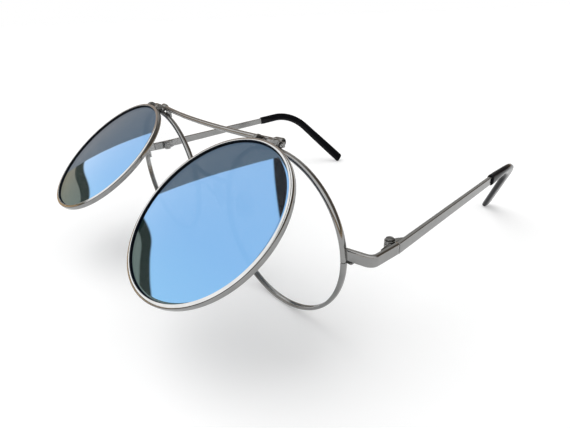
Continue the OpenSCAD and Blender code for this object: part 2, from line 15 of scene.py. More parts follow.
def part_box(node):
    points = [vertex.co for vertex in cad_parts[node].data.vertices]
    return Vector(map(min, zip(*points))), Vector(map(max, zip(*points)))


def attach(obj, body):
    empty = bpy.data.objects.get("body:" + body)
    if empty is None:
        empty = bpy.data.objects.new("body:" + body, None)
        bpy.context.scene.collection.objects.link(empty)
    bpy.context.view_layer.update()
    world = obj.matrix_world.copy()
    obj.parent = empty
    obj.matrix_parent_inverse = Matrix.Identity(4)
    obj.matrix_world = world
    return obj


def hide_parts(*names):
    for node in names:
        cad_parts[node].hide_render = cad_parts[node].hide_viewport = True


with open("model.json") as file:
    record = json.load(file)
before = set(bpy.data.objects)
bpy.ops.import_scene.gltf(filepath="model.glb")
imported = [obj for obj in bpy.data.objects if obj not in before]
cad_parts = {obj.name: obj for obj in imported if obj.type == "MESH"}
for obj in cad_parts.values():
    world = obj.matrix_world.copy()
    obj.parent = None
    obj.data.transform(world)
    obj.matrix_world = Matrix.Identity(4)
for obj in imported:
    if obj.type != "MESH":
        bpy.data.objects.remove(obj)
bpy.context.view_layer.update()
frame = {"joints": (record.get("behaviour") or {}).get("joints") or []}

MM = 0.001
X, Y, Z = 0, 1, 2

# How far a small piece runs into its neighbour
SINK = 0.05

# Rims and lenses, in millimetres as all sizes here. Crown and power are those of the superellipse
# outside a rim, and the rear rims are wider than round by the stretch.
RIM_WALL = 1.1
RIM_DEPTH = 2.0
RIM_CROWN = 0.8
RIM_POWER = 2.3
RIM_EDGE = 0.09
RIM_CUT = 0.25
RIM_STRETCH = 1.1
FRONT_R = 25.4
FRONT_WALL = 1.1
FRONT_DEPTH = 1.9
FRONT_CROWN = 0.34
FRONT_POWER = 2.8
LIP_SLOPE = math.radians(9)
GROOVE_DEPTH = 0.4
GROOVE_WIDTH = 0.9
LENS_GAP = 0.05
LENS_T = 1.4
LENS_CURVE = 190.0
SUN_LENS_T = 1.0
SUN_LENS_SET = 0.4

# Cosines that sort the faces of a front rim and its lens by how they lie: painted shade and dark
# reflection on the faces inside the rim, a painted dark reflection line round its front edge, a
# painted highlight on the flat lip, and the mirror coat on the lens
INSIDE_FACING = 0.75
LIP_HIGHLIGHT_AHEAD = 0.86
DARK_LINE_AHEAD = 0.5
DARK_LINE_OUT = 0.3
COAT_AHEAD = 0.94

# Flip hinges. The axis lies in front of the rear rims' middle, and the closed gap is between
# the front rims and the rear ones.
AXIS_FORWARD = 0.6
CLOSED_GAP = 0.75
BARREL_R = 1.45
BARREL_LEN = 3.0
BARREL_IN = 0.6
LUG_R = 1.05
LUG_T = 1.2
LUG_BEVEL = 0.26
FLIP_SCREW_R = 0.55
FLIP_HEAD_R = 0.55
FLIP_SLOT = 0.2
WASHER_R = 0.92
COLLAR_R = 0.99
COLLAR_THICK = 0.26
COLLAR_TALL = 0.4
SIDE_GAP = 0.1
SPRING_LEN = 2.7
SPRING_R = 0.8
SPRING_WIRE = 0.26
SPRING_TURNS = 3

# Brow bar with the sleeves on its ends, webs and nose bridge. Bar and webs are shorter here than
# in the solids, and the bridge swells where it is brazed.
BROW_D = 1.7
BROW_UP = 0.9
BROW_BACK = 2.1
BROW_BOW = 3.0
BAR_SHORT = 0.7
FERRULE_R = 1.27
FERRULE_LEN = 3.5
FERRULE_DEEP = 0.6
FERRULE_WALL = 0.36
SEAT_T = 0.18
WEB_LEN = 5.0
WEB_SHORT = 1.4
WEB_T = 0.8
BRIDGE_D = 1.6
BRIDGE_UP = 8.5
BRIDGE_BOW = 1.6
BRIDGE_SINK = 0.25
BRAZE_SWELL = 0.22
BRAZE_LEN = 0.9

# Endpieces, rim locks and temple hinges. The ease is the share of the section that is left at the
# very ends of strip and bar.
STRIP_T = 1.2
STRIP_H = 3.5
BEND_R = 3.0
ROOT_SLOPE = math.radians(14)
ROOT_BACK = 1.0
ROOT_SINK = 0.15
LOCK_W = 2.6
LOCK_DEPTH = 1.9
LOCK_BACK = 0.45
LOCK_SLIM_W = 1.8
LOCK_SLIM_DEPTH = 1.5
LOCK_TOP_H = 2.3
LOCK_LOW_H = 0.55
LOCK_SCREW_UP = 1.8
LOCK_SCREW_DOWN = 0.4
HINGE_IN = 3.1
KNUCKLE_R = 1.45
KNUCKLE_H = 3.2
MIDDLE_H = 1.2
KNUCKLE_GAP = 0.05
LEAF_T = 0.9
LEAF_LEN = 4.2
BUTT_GAP = 0.1
END_EASE = (0.93, 0.975)
TEMPLE_SCREW_R = 0.6
TEMPLE_SLOT_TURN = 0.6

# Temples and their tips. The section twists on a little past the tip's straight run, and the tip's
# cap ends in a last ring, a share of its length. The rounded end reaches below its own middle by
# END_REACH of the tip's height.
BAR_LEN = 60.0
BAR_T = 1.2
BAR_H_FRONT = 3.3
BAR_H_BACK = 2.8
TEMPLE_IN = math.radians(3.6)
TEMPLE_RISE = math.radians(2.2)
TIP_RUN = 7.2
TIP_BEND_R = 23.0
TIP_BEND = math.radians(54)
TIP_LEAN = math.radians(26.5)
TIP_TWIST_ON = 6.0
TIP_COVER = 2.5
TIP_LIP = 0.35
TIP_T = 2.4
TIP_H_FRONT = 3.9
TIP_H_BACK = 5.4
TIP_CAP = 1.3
TIP_POWER = 2.7
CAP_POWER = 2.6
CAP_TAPER = 1.7
CAP_LAST = 0.9995
END_REACH = 0.44

# Nose pads and their arms. The handles of an arm's curve lie where it leaves the rim and where it
# meets the pad's fork.
PAD_H = 12.5
PAD_W = 6.6
PAD_T = 1.8
PAD_POWER = 2.3
PAD_CROWN_POWER = 3.2
PAD_TAPER = 0.1
PAD_TURN = math.radians(30)
PAD_LEAN = math.radians(12)
PAD_IN = 1.3
PAD_BACK = 7.0
PAD_DOWN = 3.0
PAD_GAP = 0.4
PAD_PLAY = 0.05
PAD_CORE_W = 3.2
PAD_CORE_H = 5.2
PAD_STEM_T = 0.7
PAD_STEM_R = 0.6
PAD_FORK_W = 1.6
PAD_FORK_H = 2.2
PAD_FORK_T = 0.42
PAD_SCREW_R = 0.35
ARM_R = 0.45
ARM_UP = 2.0
ARM_ROOT = 0.3
ARM_LEAVE = 4.0
ARM_MEET = (2.4, 0, 1.44)
ARM_SWELL = 0.25
ARM_SWELL_LEN = 0.7

# Finishes: heights of relief in metres, and the angle from which an edge is sharp
METAL_RELIEF = 0.00001
FILM_RELIEF = 0.00002
SHARP_ANGLE = math.radians(50)

# Stage: floor and surround in metres, and the camera's lens
FLOOR_HALF = 60.0
FLOOR_GREY = 0.8
FLOOR_LIFT = 0.25
DOME_R = 3.0
PHOTO_WIDTH = 570.0
FOCAL_PIXELS = 405.06
SENSOR = 36.0

# Where the parts of the surround begin and are whole, in shares of its radius
WALL_LEFT = (-0.5, 0.1)
WALL_BACK = (0.1, 0.3)
BAND_STEP = (-0.42, -0.12)
BAND_RISE = 0.16
DARK_BAND_TOP = (0.318, 0.332)
BROWN_BAND_TOP = (0.266, 0.276)
FLAG_ACROSS = (1.112, 1.07, 1.0)
FLAG_NEAR = (-0.031, -0.013)
FLAG_FAR = (0.1, 0.12)
FLAG_LOW = (0.66, 0.7)
CLOTH_ACROSS = (-0.99, 1.0, 0.3)
CLOTH_NEAR = (0.842, 0.850)
CLOTH_FAR = (0.4, 0.6)

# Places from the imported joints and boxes
joints = {j["name"]: j for j in frame["joints"]}
flip_joint = joints["flip_left_tilt"]
fold_joint = joints["temple_left_fold"]
rim_low, rim_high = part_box("rear_rim_left")
front_low, front_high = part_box("front_rim_left")
RIM_R = (rim_high.z - rim_low.z) / MM / 2
WRAP = math.atan2(-flip_joint["axis"][1], -flip_joint["axis"][0])
FLIP_UP = math.radians(-flip_joint["range_deg"][0])
FORWARD = np.array([0, -math.cos(FLIP_UP), math.sin(FLIP_UP)])
axis_x, axis_y, axis_z = (v / MM for v in flip_joint["pos_m"])
HALF = axis_x - AXIS_FORWARD * math.sin(WRAP)
RIM_Y = axis_y + AXIS_FORWARD * math.cos(WRAP)
AXIS_UP = axis_z - 2 * RIM_R
AXIS_DROP = AXIS_UP + FRONT_R
AXIS_OUT = RIM_DEPTH / 2 + CLOSED_GAP + FRONT_DEPTH / 2 - AXIS_FORWARD
BARREL_OUT = BARREL_LEN - BARREL_IN
SPRING_X = -BARREL_IN - SIDE_GAP - SPRING_LEN
INNER_LUG_X = SPRING_X - LUG_T
OUTER_LUG_X = BARREL_OUT + SIDE_GAP
BROW_Z = 2 * RIM_R + BROW_UP
HINGE_X, HINGE_Y, HINGE_Z = (v / MM for v in fold_joint["pos_m"])
OUTER_X = HINGE_X + HINGE_IN
STRIP_UP = HINGE_Z - RIM_R
HINGE_BACK = HINGE_Y - RIM_Y
LOCK_FOOT = HINGE_Z - STRIP_H / 2
LOCK_X = HALF + RIM_R + LOCK_W / 2
LOCK_Y = ROOT_BACK + LOCK_DEPTH / 2 + LOCK_BACK
BAR_X = HINGE_IN - BAR_T / 2
FORK_FRONT = PAD_T / 2 + PAD_GAP
PAD_AXIS = FORK_FRONT + PAD_STEM_R + PAD_PLAY
FORK_BACK = PAD_AXIS + PAD_STEM_R + 0.5


def turn(points, axis, angle):
    """Points turned about the X, Y or Z axis by an angle, by the right-hand rule."""
    a, b = (axis + 1) % 3, (axis + 2) % 3
    c, s = math.cos(angle), math.sin(angle)
    turned = np.array(points, float)
    turned[:, a] = c * points[:, a] - s * points[:, b]
    turned[:, b] = s * points[:, a] + c * points[:, b]
    return turned


def at_front(points):
    """From the frame front's own place, midway between the rims on the floor, to the frame."""
    return points + [0, RIM_Y, 0]


def at_rim(points):
    """From the left rim's centre, X outwards and -Y forwards, to the frame."""
    return at_front(turn(points, Z, WRAP) + [HALF, 0, RIM_R])


def at_wide_rim(points):
    """As at_rim, and drawn out sideways in proportion: nothing at the nose, RIM_STRETCH at the
    temple."""
    share = (points[:, :1] + RIM_R) / (2 * RIM_R)
    return at_rim(points + share * [RIM_STRETCH, 0, 0])


def at_axis(points):
    """From the left flip axis, not turned with the lens, to the frame."""
    return at_rim(points + [0, -AXIS_FORWARD, RIM_R + AXIS_UP])


def at_flip(points):
    """From the left flip axis, with the lens hanging straight down as if closed, to its place."""
    return at_axis(turn(points, X, -FLIP_UP))


def at_front_rim(points):
    """From the centre of the closed left front rim to its flipped place."""
    return at_flip(points + [0, -AXIS_OUT, -AXIS_DROP])


def at_hinge(points):
    """From the middle of the left temple hinge to the frame."""
    return points + [HINGE_X, HINGE_Y, HINGE_Z]


def at_bar(points):
    """From the temple hinge, with the bar straight back along +Y, to its inward, rising run."""
    return at_hinge(turn(turn(points, X, TEMPLE_RISE), Z, TEMPLE_IN))


def at_pad(points):
    """From the middle of the left nose pad, +X away from the nose, to the frame."""
    centre = [HALF - RIM_R - PAD_IN, PAD_BACK, RIM_R - PAD_DOWN]
    return at_front(turn(turn(points, Y, PAD_LEAN), Z, -PAD_TURN) + centre)


# Outlines: points and outward normals, anticlockwise

def rounded(corners, radii, steps=5, support=0.06):
    """A closed outline with round corners. Each corner becomes an arc tangent to both its sides,
    turned the other way where the corner is hollow, and a support point sits on each side close
    to the arc, so that the flats shade flat."""
    corners = np.asarray(corners, float)
    radii = np.broadcast_to(radii, len(corners))
    points, normals = [], []
    for i, corner in enumerate(corners):
        before = corners[i - 1] - corner
        after = corners[(i + 1) % len(corners)] - corner
        a, b = before / np.hypot(*before), after / np.hypot(*after)
        inside = math.acos(np.clip(a @ b, -1, 1))
        sign = -1 if a[0] * b[1] - a[1] * b[0] > 0 else 1
        reach = radii[i] / math.tan(inside / 2)
        middle = corner + (a + b) / np.hypot(*(a + b)) * radii[i] / math.sin(inside / 2)
        start, end = corner + a * reach, corner + b * reach
        first = math.atan2(*(start - middle)[::-1])
        sweep = math.atan2(*(end - middle)[::-1]) - first
        sweep = (sweep + math.pi) % (2 * math.pi) - math.pi
        angles = first + sweep * np.linspace(0, 1, steps)
        way = np.stack([np.cos(angles), np.sin(angles)], 1)
        points += [start + a * min(support, np.hypot(*before) / 3), *(middle + way * radii[i]),
                   end + b * min(support, np.hypot(*after) / 3)]
        normals += [way[0] * sign, *(way * sign), way[-1] * sign]
    return np.array(points), np.array(normals)


def rectangle(left, right, height, radii, steps=5):
    """A round-cornered rectangle from one x to another, half its height either side of y = 0.
    The radii start at the low left corner."""
    h = height / 2
    return rounded([(left, -h), (right, -h), (right, h), (left, h)], radii, steps)


def circle(radius, count=32):
    """A circle: (r cos a, r sin a) at even angles."""
    a = 2 * math.pi * np.arange(count) / count
    way = np.stack([np.cos(a), np.sin(a)], 1)
    return way * radius, way


def squircle(power, count=40):
    """A superellipse of half size 1: signed powers 2 / p of cosine and sine, so that its sides
    are fuller than a circle's."""
    way = circle(1.0, count)[0]
    points = np.sign(way) * np.abs(way) ** (2 / power)
    return points, points / np.linalg.norm(points, axis=1)[:, None]


# Shells: vertices and faces

def skin(rings, closed=False, caps=True):
    """A surface over rings of equal length. Ring i and ring i + 1 are joined by quads, the last
    joins the first where the path is closed, and an open path's ends take one many-sided face
    each. It points outwards where the rings travel along their own x crossed with their own y."""
    rings = np.asarray(rings, float)
    m, n = rings.shape[:2]
    i = np.arange(m if closed else m - 1)[:, None] * n
    j = np.arange(n)[None, :]
    a, b = i + j, i + (j + 1) % n
    c, d = (b + n) % (m * n), (a + n) % (m * n)
    faces = np.stack([a, b, c, d], -1).reshape(-1, 4).tolist()
    if not closed and caps:
        faces.append(list(range(n))[::-1])
        faces.append([(m - 1) * n + k for k in range(n)])
    return rings.reshape(-1, 3), faces


def extrude(outline, low, high, bevel=0.15, steps=4, support=0.06):
    """An outline in the XY plane carried from one height to another, with a quarter-round edge at
    both ends: each ring is the outline moved in along its normals by the bevel times 1 - sin a, at
    the bevel times 1 - cos a from the end."""
    points, normals = outline
    a = np.linspace(0, math.pi / 2, steps)
    inset = np.concatenate([[bevel + support], bevel * (1 - np.sin(a)), [0]])
    rise = np.concatenate([[0], bevel * (1 - np.cos(a)), [bevel + support]])
    inset = np.concatenate([inset, inset[::-1]])[:, None, None]
    z = np.concatenate([low + rise, (high - rise)[::-1]])[:, None, None]
    rings = points[None] - normals[None] * inset
    return skin(np.concatenate([rings, z + 0 * rings[..., :1]], -1))


def revolve(profile, count=48):
    """A profile of (r, z) points, whose two ends lie on the axis, turned once about Z: points
    (r cos a, r sin a, z), with a fan of triangles at each end."""
    profile = np.asarray(profile, float)
    a = 2 * math.pi * np.arange(count) / count
    r, z = profile[1:-1, :1], profile[1:-1, 1:]
    points, faces = skin(np.stack([r * np.cos(a), r * np.sin(a), z + 0 * a], -1), caps=False)
    around = np.arange(count)
    after = (around + 1) % count
    last = len(points) - count
    foot, top = np.full(count, len(points)), np.full(count, len(points) + 1)
    faces += np.stack([foot, after, around], 1).tolist()
    faces += np.stack([top, last + around, last + after], 1).tolist()
    return np.vstack([points, [0, 0, profile[0, 1]], [0, 0, profile[-1, 1]]]), faces


def carry(path, across, up, outline, scale=1.0):
    """Rings of an outline carried along a path: path + across * x * sx + up * y * sy. Across and
    up are unit vectors, and scale is the pair (sx, sy). Each is one for the whole path, or one for
    each of its points."""
    x, y = outline[0].T
    sx, sy = np.broadcast_to(scale, (len(path), 2)).T[..., None]
    across, up = (np.broadcast_to(v, path.shape)[:, None] for v in (across, up))
    return path[:, None] + across * (x * sx)[..., None] + up * (y * sy)[..., None]


def inside_out(part):
    """The same shell with each face's order turned round."""
    return part[0], [face[::-1] for face in part[1]]


def joined(*parts):
    """Several closed shells as one list of vertices and one of faces."""
    points, faces, count = [], [], 0
    for p, f in parts:
        points.append(p)
        faces += [[v + count for v in face] for face in f]
        count += len(p)
    return np.vstack(points), faces


def placed(part, place):
    """A part's points sent through a place function."""
    return place(part[0]), part[1]


def moved(part, *offset):
    """A part moved by an offset in x, y and z."""
    return part[0] + offset, part[1]


def along_x(part):
    """A part built upwards along Z, laid along +X: Z becomes X, X becomes Y and Y becomes Z."""
    return part[0][:, [Z, X, Y]], part[1]


def along_front(part):
    """A part built upwards along Z, faced forwards: Z becomes -Y, and Y becomes Z."""
    return part[0][:, [X, Z, Y]] * [1, -1, 1], part[1]


# Pieces of the scene

def shown(name, data):
    """A new object of the scene that holds the data."""
    made = bpy.data.objects.new(name, data)
    bpy.context.scene.collection.objects.link(made)
    return made


def meshed(name, points, faces):
    """A new smooth-shaded object of the scene, from points in metres."""
    mesh = bpy.data.meshes.new(name)
    mesh.from_pydata(points.tolist(), [], faces)
    mesh.polygons.foreach_set("use_smooth", np.ones(len(faces), bool))
    return shown(name, mesh)


def piece(name, part, finish, body, nodes, side=None):
    """A finished piece in the frame. The right-hand copy is the left one mirrored in X, with its
    faces turned round so that they still point outwards."""
    if side == "right":
        part = inside_out((part[0] * [-1, 1, 1], part[1]))
    made = meshed(name, part[0] * MM, part[1])
    made.data.set_sharp_from_angle(angle=SHARP_ANGLE)
    made.data.update()
    for material in finish if isinstance(finish, list) else [finish]:
        made.data.materials.append(material)
    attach(made, body)
    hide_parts(*nodes)
    return made


def both(name, part, finish, body, node):
    """The left piece and its mirror image. A body or node with two sides is named by its stem."""
    made = []
    for side in ("left", "right"):
        where = body if body == "frame" else f"{body}_{side}"
        made.append(piece(f"{name}_{side}", part, finish, where, [f"{node}_{side}"], side))
    return made


def face_rows(made, what):
    """The normal or the centre of each face of a piece, one to a row."""
    rows = np.zeros(len(made.data.polygons) * 3)
    made.data.polygons.foreach_get(what, rows)
    return rows.reshape(-1, 3)


def share_out(made, which):
    """Gives each face of a piece one of its materials, by number."""
    made.data.polygons.foreach_set("material_index", which.astype(np.int32))


# Nodes

def feed(tree, socket, value):
    """Links a socket to another node's output, or sets a constant on the socket itself."""
    if isinstance(value, bpy.types.NodeSocket):
        tree.links.new(value, socket)
    else:
        socket.default_value = value


def fill(tree, node, **inputs):
    """Feeds a node's inputs, which are named with underscores for spaces."""
    for name, value in inputs.items():
        feed(tree, node.inputs[name.replace("_", " ")], value)
    return node


def add(tree, kind, **inputs):
    """A new node with its inputs fed."""
    return fill(tree, tree.nodes.new("ShaderNode" + kind), **inputs)


def maths(tree, operation, *values, clamp=False):
    """The result of a Math node."""
    node = add(tree, "Math")
    node.operation, node.use_clamp = operation, clamp
    for socket, value in zip(node.inputs, values):
        feed(tree, socket, value)
    return node.outputs[0]


def ranged(tree, value, start=0.0, end=1.0, low=0.0, high=1.0, ease="LINEAR"):
    """A value's run from start to end made a run from low to high, and held beyond its ends."""
    node = add(tree, "MapRange", Value=value,
               From_Min=start, From_Max=end, To_Min=low, To_Max=high)
    node.interpolation_type = ease
    return node.outputs["Result"]


def noise(tree, vector, scale, detail=2.0, distortion=0.0):
    """The grey of a noise texture."""
    return add(tree, "TexNoise", Vector=vector, Scale=scale, Detail=detail,
               Distortion=distortion).outputs["Fac"]


def blend(tree, share, a, b, kind="MIX"):
    """Colour a, turned into colour b by a share."""
    node = add(tree, "Mix")
    node.data_type, node.blend_type = "RGBA", kind
    return fill(tree, node, Factor=share, A=a, B=b).outputs["Result"]


def object_place(tree):
    """Object coordinates."""
    return add(tree, "TexCoord").outputs["Object"]


def relief(tree, height, strength, distance):
    """The normal of a bump."""
    return add(tree, "Bump", Height=height, Strength=strength,
               Distance=distance).outputs["Normal"]


# Shared effects

def new_group(name, inputs, outputs):
    """A shader group with a vector input and its other sockets, each with its kind. Gives the
    group, the sockets that come in and the node that they go out by."""
    group = bpy.data.node_groups.new(name, "ShaderNodeTree")
    for way, sockets in (("INPUT", {"Vector": "Vector", **inputs}), ("OUTPUT", outputs)):
        for title, kind in sockets.items():
            group.interface.new_socket(title, in_out=way, socket_type="NodeSocket" + kind)
    return group, group.nodes.new("NodeGroupInput").outputs, group.nodes.new("NodeGroupOutput")


def handled_metal_group():
    """Wear of plated metal. Fine grain and hairline scratches, each times the haze, are added to
    the shine and make the height, and soft clouds of handling darken the colour."""
    group, into, out = new_group(
        "handled metal", {"Colour": "Color", "Shine": "Float", "Haze": "Float", "Clouds": "Float"},
        {"Colour": "Color", "Roughness": "Float", "Height": "Float"})
    clouds = noise(group, into["Vector"], 260.0, detail=3.0)
    grain = noise(group, into["Vector"], 5200.0)
    drawn = add(group, "Mapping", Vector=into["Vector"], Scale=(1.0, 7.0, 2.4))
    scratch = noise(group, drawn.outputs["Vector"], 1500.0, detail=4.0, distortion=0.6)
    hazed = maths(group, "MULTIPLY", grain, into["Haze"])
    rubbed = maths(group, "MULTIPLY", scratch, into["Haze"])
    rough = maths(group, "ADD", maths(group, "ADD", into["Shine"], hazed), rubbed)
    shade = ranged(group, clouds, start=0.25, end=0.6, low=0.72)
    fill(group, out, Roughness=rough, Height=maths(group, "ADD", scratch, grain),
         Colour=blend(group, into["Clouds"], into["Colour"], shade, "MULTIPLY"))
    return group


def uneven_film_group():
    """A thin uneven film: noise between two of its levels runs from the shine to the dull. Puts
    out the roughness, and the noise as a height."""
    group, into, out = new_group(
        "uneven film",
        {name: "Float" for name in ("Scale", "Detail", "Start", "End", "Shine", "Dull")},
        {"Roughness": "Float", "Height": "Float"})
    grain = noise(group, into["Vector"], into["Scale"], into["Detail"])
    rough = ranged(group, grain, into["Start"], into["End"], into["Shine"], into["Dull"])
    fill(group, out, Roughness=rough, Height=grain)
    return group


def grouped(tree, group, **inputs):
    """The outputs of a shared group, placed in a material on Object coordinates."""
    node = add(tree, "Group")
    node.node_tree = group
    return fill(tree, node, Vector=object_place(tree), **inputs).outputs


handled = handled_metal_group()
uneven_film = uneven_film_group()


# Materials

def principled(name):
    """A new material with its tree and its Principled shader."""
    material = bpy.data.materials.new(name)
    material.use_nodes = True
    return material, material.node_tree, material.node_tree.nodes["Principled BSDF"]


def metal(name, colour, shine, haze, clouds, bump):
    """Plated metal: the wear group feeds colour, roughness and a very fine bump."""
    material, tree, shader = principled(name)
    wear = grouped(tree, handled, Colour=(*colour, 1), Shine=shine, Haze=haze, Clouds=clouds)
    fill(tree, shader, Metallic=1.0, Base_Color=wear["Colour"], Roughness=wear["Roughness"],
         Normal=relief(tree, wear["Height"], bump, METAL_RELIEF))
    return material


def mirror_coat():
    """Blue flash mirror on the front of a sun lens: a ramp of three blues up the lens, shifted a
    little by soft noise. The blue is the coat's own; its lightening and greening towards the bottom
    is a painted reflection of the sky. It lets a little of what is behind the lens through."""
    material, tree, shader = principled("blue mirror coat")
    place = object_place(tree)
    height = add(tree, "SeparateXYZ", Vector=place).outputs["Z"]
    drift = maths(tree, "MULTIPLY_ADD", noise(tree, place, 28.0), 0.006, height)
    ramp = add(tree, "ValToRGB", Fac=ranged(tree, drift, float(front_low.z), float(front_high.z)))
    ramp.color_ramp.elements.new(0.5)
    # The coat's own blue, lighter and greener at the bottom as a painted reflection of the sky
    coat_blues_with_painted_sky = (0.185, 0.400, 0.625), (0.165, 0.345, 0.590), (0.175, 0.335, 0.565)
    for stop, blue in zip(ramp.color_ramp.elements, coat_blues_with_painted_sky):
        stop.color = (*blue, 1)
    film = grouped(tree, uneven_film, Scale=420.0, Detail=3.0, Start=0.35, End=0.75,
                   Shine=0.012, Dull=0.035)
    fill(tree, shader, Base_Color=ramp.outputs["Color"], Roughness=film["Roughness"],
         Metallic=1.0, Alpha=0.94)
    return material


def filmed(name, scale, detail, shine, dull, start=0.0, end=1.0, bump=0.0, **constants):
    """A plastic, or the black of painted shade, whose roughness, and where asked a fine bump, is
    the film group's.
    """
    material, tree, shader = principled(name)
    film = grouped(tree, uneven_film, Scale=scale, Detail=detail, Start=start, End=end,
                   Shine=shine, Dull=dull)
    fill(tree, shader, Roughness=film["Roughness"], **constants)
    if bump:
        fill(tree, shader, Normal=relief(tree, film["Height"], bump, FILM_RELIEF))
    return material


def smoke_plastic():
    """Dark grey tinted plastic: the back and edge of a sun lens."""
    return filmed("smoke lens plastic", 420.0, 2.0, shine=0.03, dull=0.09,
                  Base_Color=(0.02, 0.026, 0.032, 1), Alpha=0.55, IOR=1.5)


def painted_shade_black_finish():
    """Matt black, a little uneven. It is painted shade and dark reflection inside a front rim and
    along its front's outer edge, and painted shade in the small seats.
    """
    return filmed("painted shade black", 2400.0, 3.0, shine=0.2, dull=0.42,
                  Base_Color=(0.006, 0.006, 0.007, 1), IOR=1.45, Specular_IOR_Level=0.25)


def clear_plastic():
    """Clear optical plastic. Its alpha rises towards grazing angles, as the reflection does."""
    material, tree, shader = principled("clear lens plastic")
    facing = add(tree, "LayerWeight", Blend=0.1).outputs["Facing"]
    fill(tree, shader, Alpha=ranged(tree, facing, low=0.012, high=0.2),
         Base_Color=(0.86, 0.92, 0.93, 1), Roughness=0.02, IOR=1.5)
    return material


def black_acetate():
    """Polished black plastic of the temple tips, with faint rubbing."""
    return filmed("black tip plastic", 900.0, 5.0, shine=0.1, dull=0.26, start=0.3, end=0.7,
                  bump=0.12, Base_Color=(0.0035, 0.004, 0.006, 1), IOR=1.4,
                  Specular_IOR_Level=0.16)


def soft_silicone():
    """Translucent silicone of the nose pads."""
    return filmed("pad silicone", 700.0, 2.0, shine=0.3, dull=0.42,
                  Base_Color=(0.86, 0.87, 0.84, 1), Alpha=0.62, IOR=1.41)


nickel = metal("polished nickel", (0.28, 0.28, 0.276),
               shine=0.07, haze=0.06, clouds=0.5, bump=0.2)
# Twice as light as the plain nickel: a painted highlight for the front rims' flat lips
painted_highlight_nickel = metal("nickel with painted highlight", (0.56, 0.56, 0.555),
                      shine=0.05, haze=0.05, clouds=0.35, bump=0.15)
hinge_nickel = metal("hinge nickel", (0.25, 0.25, 0.246),
                     shine=0.12, haze=0.1, clouds=0.8, bump=0.35)
steel = metal("screw steel", (0.22, 0.22, 0.216),
              shine=0.16, haze=0.12, clouds=0.6, bump=0.4)
coat = mirror_coat()
smoke = smoke_plastic()
# Black that paints shade and dark reflections onto the front rims, the sleeve seats and the flip
# washers
painted_shade_black = painted_shade_black_finish()
clear = clear_plastic()
acetate = black_acetate()
silicone = soft_silicone()


# Rims and lenses

def rim_outline(wall, depth, crown, power):
    """Section of a rim wire, x outwards from the outer edge and y backwards. The outside is half
    a superellipse, as deep as the rim and `crown` wide. The inside is straight, with small steps
    round its corners and a V groove."""
    d, c = depth / 2, RIM_EDGE
    t = np.linspace(-math.pi / 2, math.pi / 2, 27)
    e = 2 / power
    outside = np.stack([crown * (np.abs(np.cos(t)) ** e - 1),
                        d * np.sign(np.sin(t)) * np.abs(np.sin(t)) ** e], 1)
    half = np.array([(c, d), (c * 0.3, d - c * 0.3), (0, d - c), (0, GROOVE_WIDTH / 2)])
    inside = np.vstack([half, [[GROOVE_DEPTH, 0]], half[::-1] * [1, -1]]) - [wall, 0]
    return np.vstack([outside, inside]), None


def coned(outline, wall, depth, angle):
    """The same section with its front side sloped back towards the outer edge: y grows by the
    distance from the inner edge times the angle's tangent, in full at the very front and not at
    all behind the middle."""
    points = outline[0].copy()
    front = np.clip(-points[:, 1] / (depth / 2), 0, 1)
    points[:, 1] += (points[:, 0] + wall) * math.tan(angle) * front
    return points, None


def rim_wire(radius, outline, first=0.0, last=2 * math.pi, count=288):
    """A rim: its section carried round the circle (r cos a, 0, r sin a) from one angle to another,
    or all round."""
    closed = math.isclose(last - first, 2 * math.pi)
    a = np.linspace(first, last, count, endpoint=not closed)
    way = np.stack([np.cos(a), 0 * a, np.sin(a)], 1)
    return skin(carry(way * radius, way, [0.0, 1.0, 0.0], outline), closed=closed)


def lens_part(radius, wall, thick, forward, count=192, rings=36):
    """A meniscus lens: both faces are spheres of one radius R, whose sag at a distance r from the
    middle is the root of R squared less r squared, and the edge is a V that fills the rim's
    groove. `forward` is how far the edge of the front face stands in front of the groove."""
    edge = radius - wall - LENS_GAP
    reach = np.linspace(0, edge, rings)
    sag = np.sqrt(LENS_CURVE ** 2 - reach ** 2) - math.sqrt(LENS_CURVE ** 2 - edge ** 2)
    back = np.stack([reach, sag + forward - thick], 1)
    front = np.stack([reach, sag + forward], 1)[::-1]
    lip = [(edge + GROOVE_DEPTH - LENS_GAP, 0)]
    return along_front(revolve(np.vstack([back, lip, front]), count))


def finish_front_rim(made, side):
    """Shares out a front rim's faces by how they lie. The faces that look to the rim's middle get
    black as painted shade and dark reflection. A narrow line round the front's outer edge gets
    black as a painted dark reflection. The flat lip in front gets bright metal as a painted
    highlight, and plain metal goes elsewhere. Side is 1 on the left and -1 on the right."""
    middle = at_front_rim(np.zeros((1, 3)))[0] * MM * [side, 1, 1]
    normals = face_rows(made, "normal")
    inward = middle - face_rows(made, "center")
    inward /= np.linalg.norm(inward, axis=1)[:, None]
    to_middle = np.einsum("ij,ij->i", normals, inward)
    ahead = normals @ FORWARD
    # the flat lip in front gets the lighter metal, a painted highlight
    lip = ahead > LIP_HIGHLIGHT_AHEAD
    # a narrow line round the front's outer edge, painted black as a dark reflection
    painted_dark_line = (ahead > DARK_LINE_AHEAD) & (ahead < LIP_HIGHLIGHT_AHEAD) & (to_middle < -DARK_LINE_OUT)
    # the faces looking to the rim's middle are painted black as shade and dark reflection, and so
    # is the edge line
    black = (to_middle > INSIDE_FACING) | painted_dark_line
    share_out(made, np.where(black, 1, np.where(lip, 2, 0)))


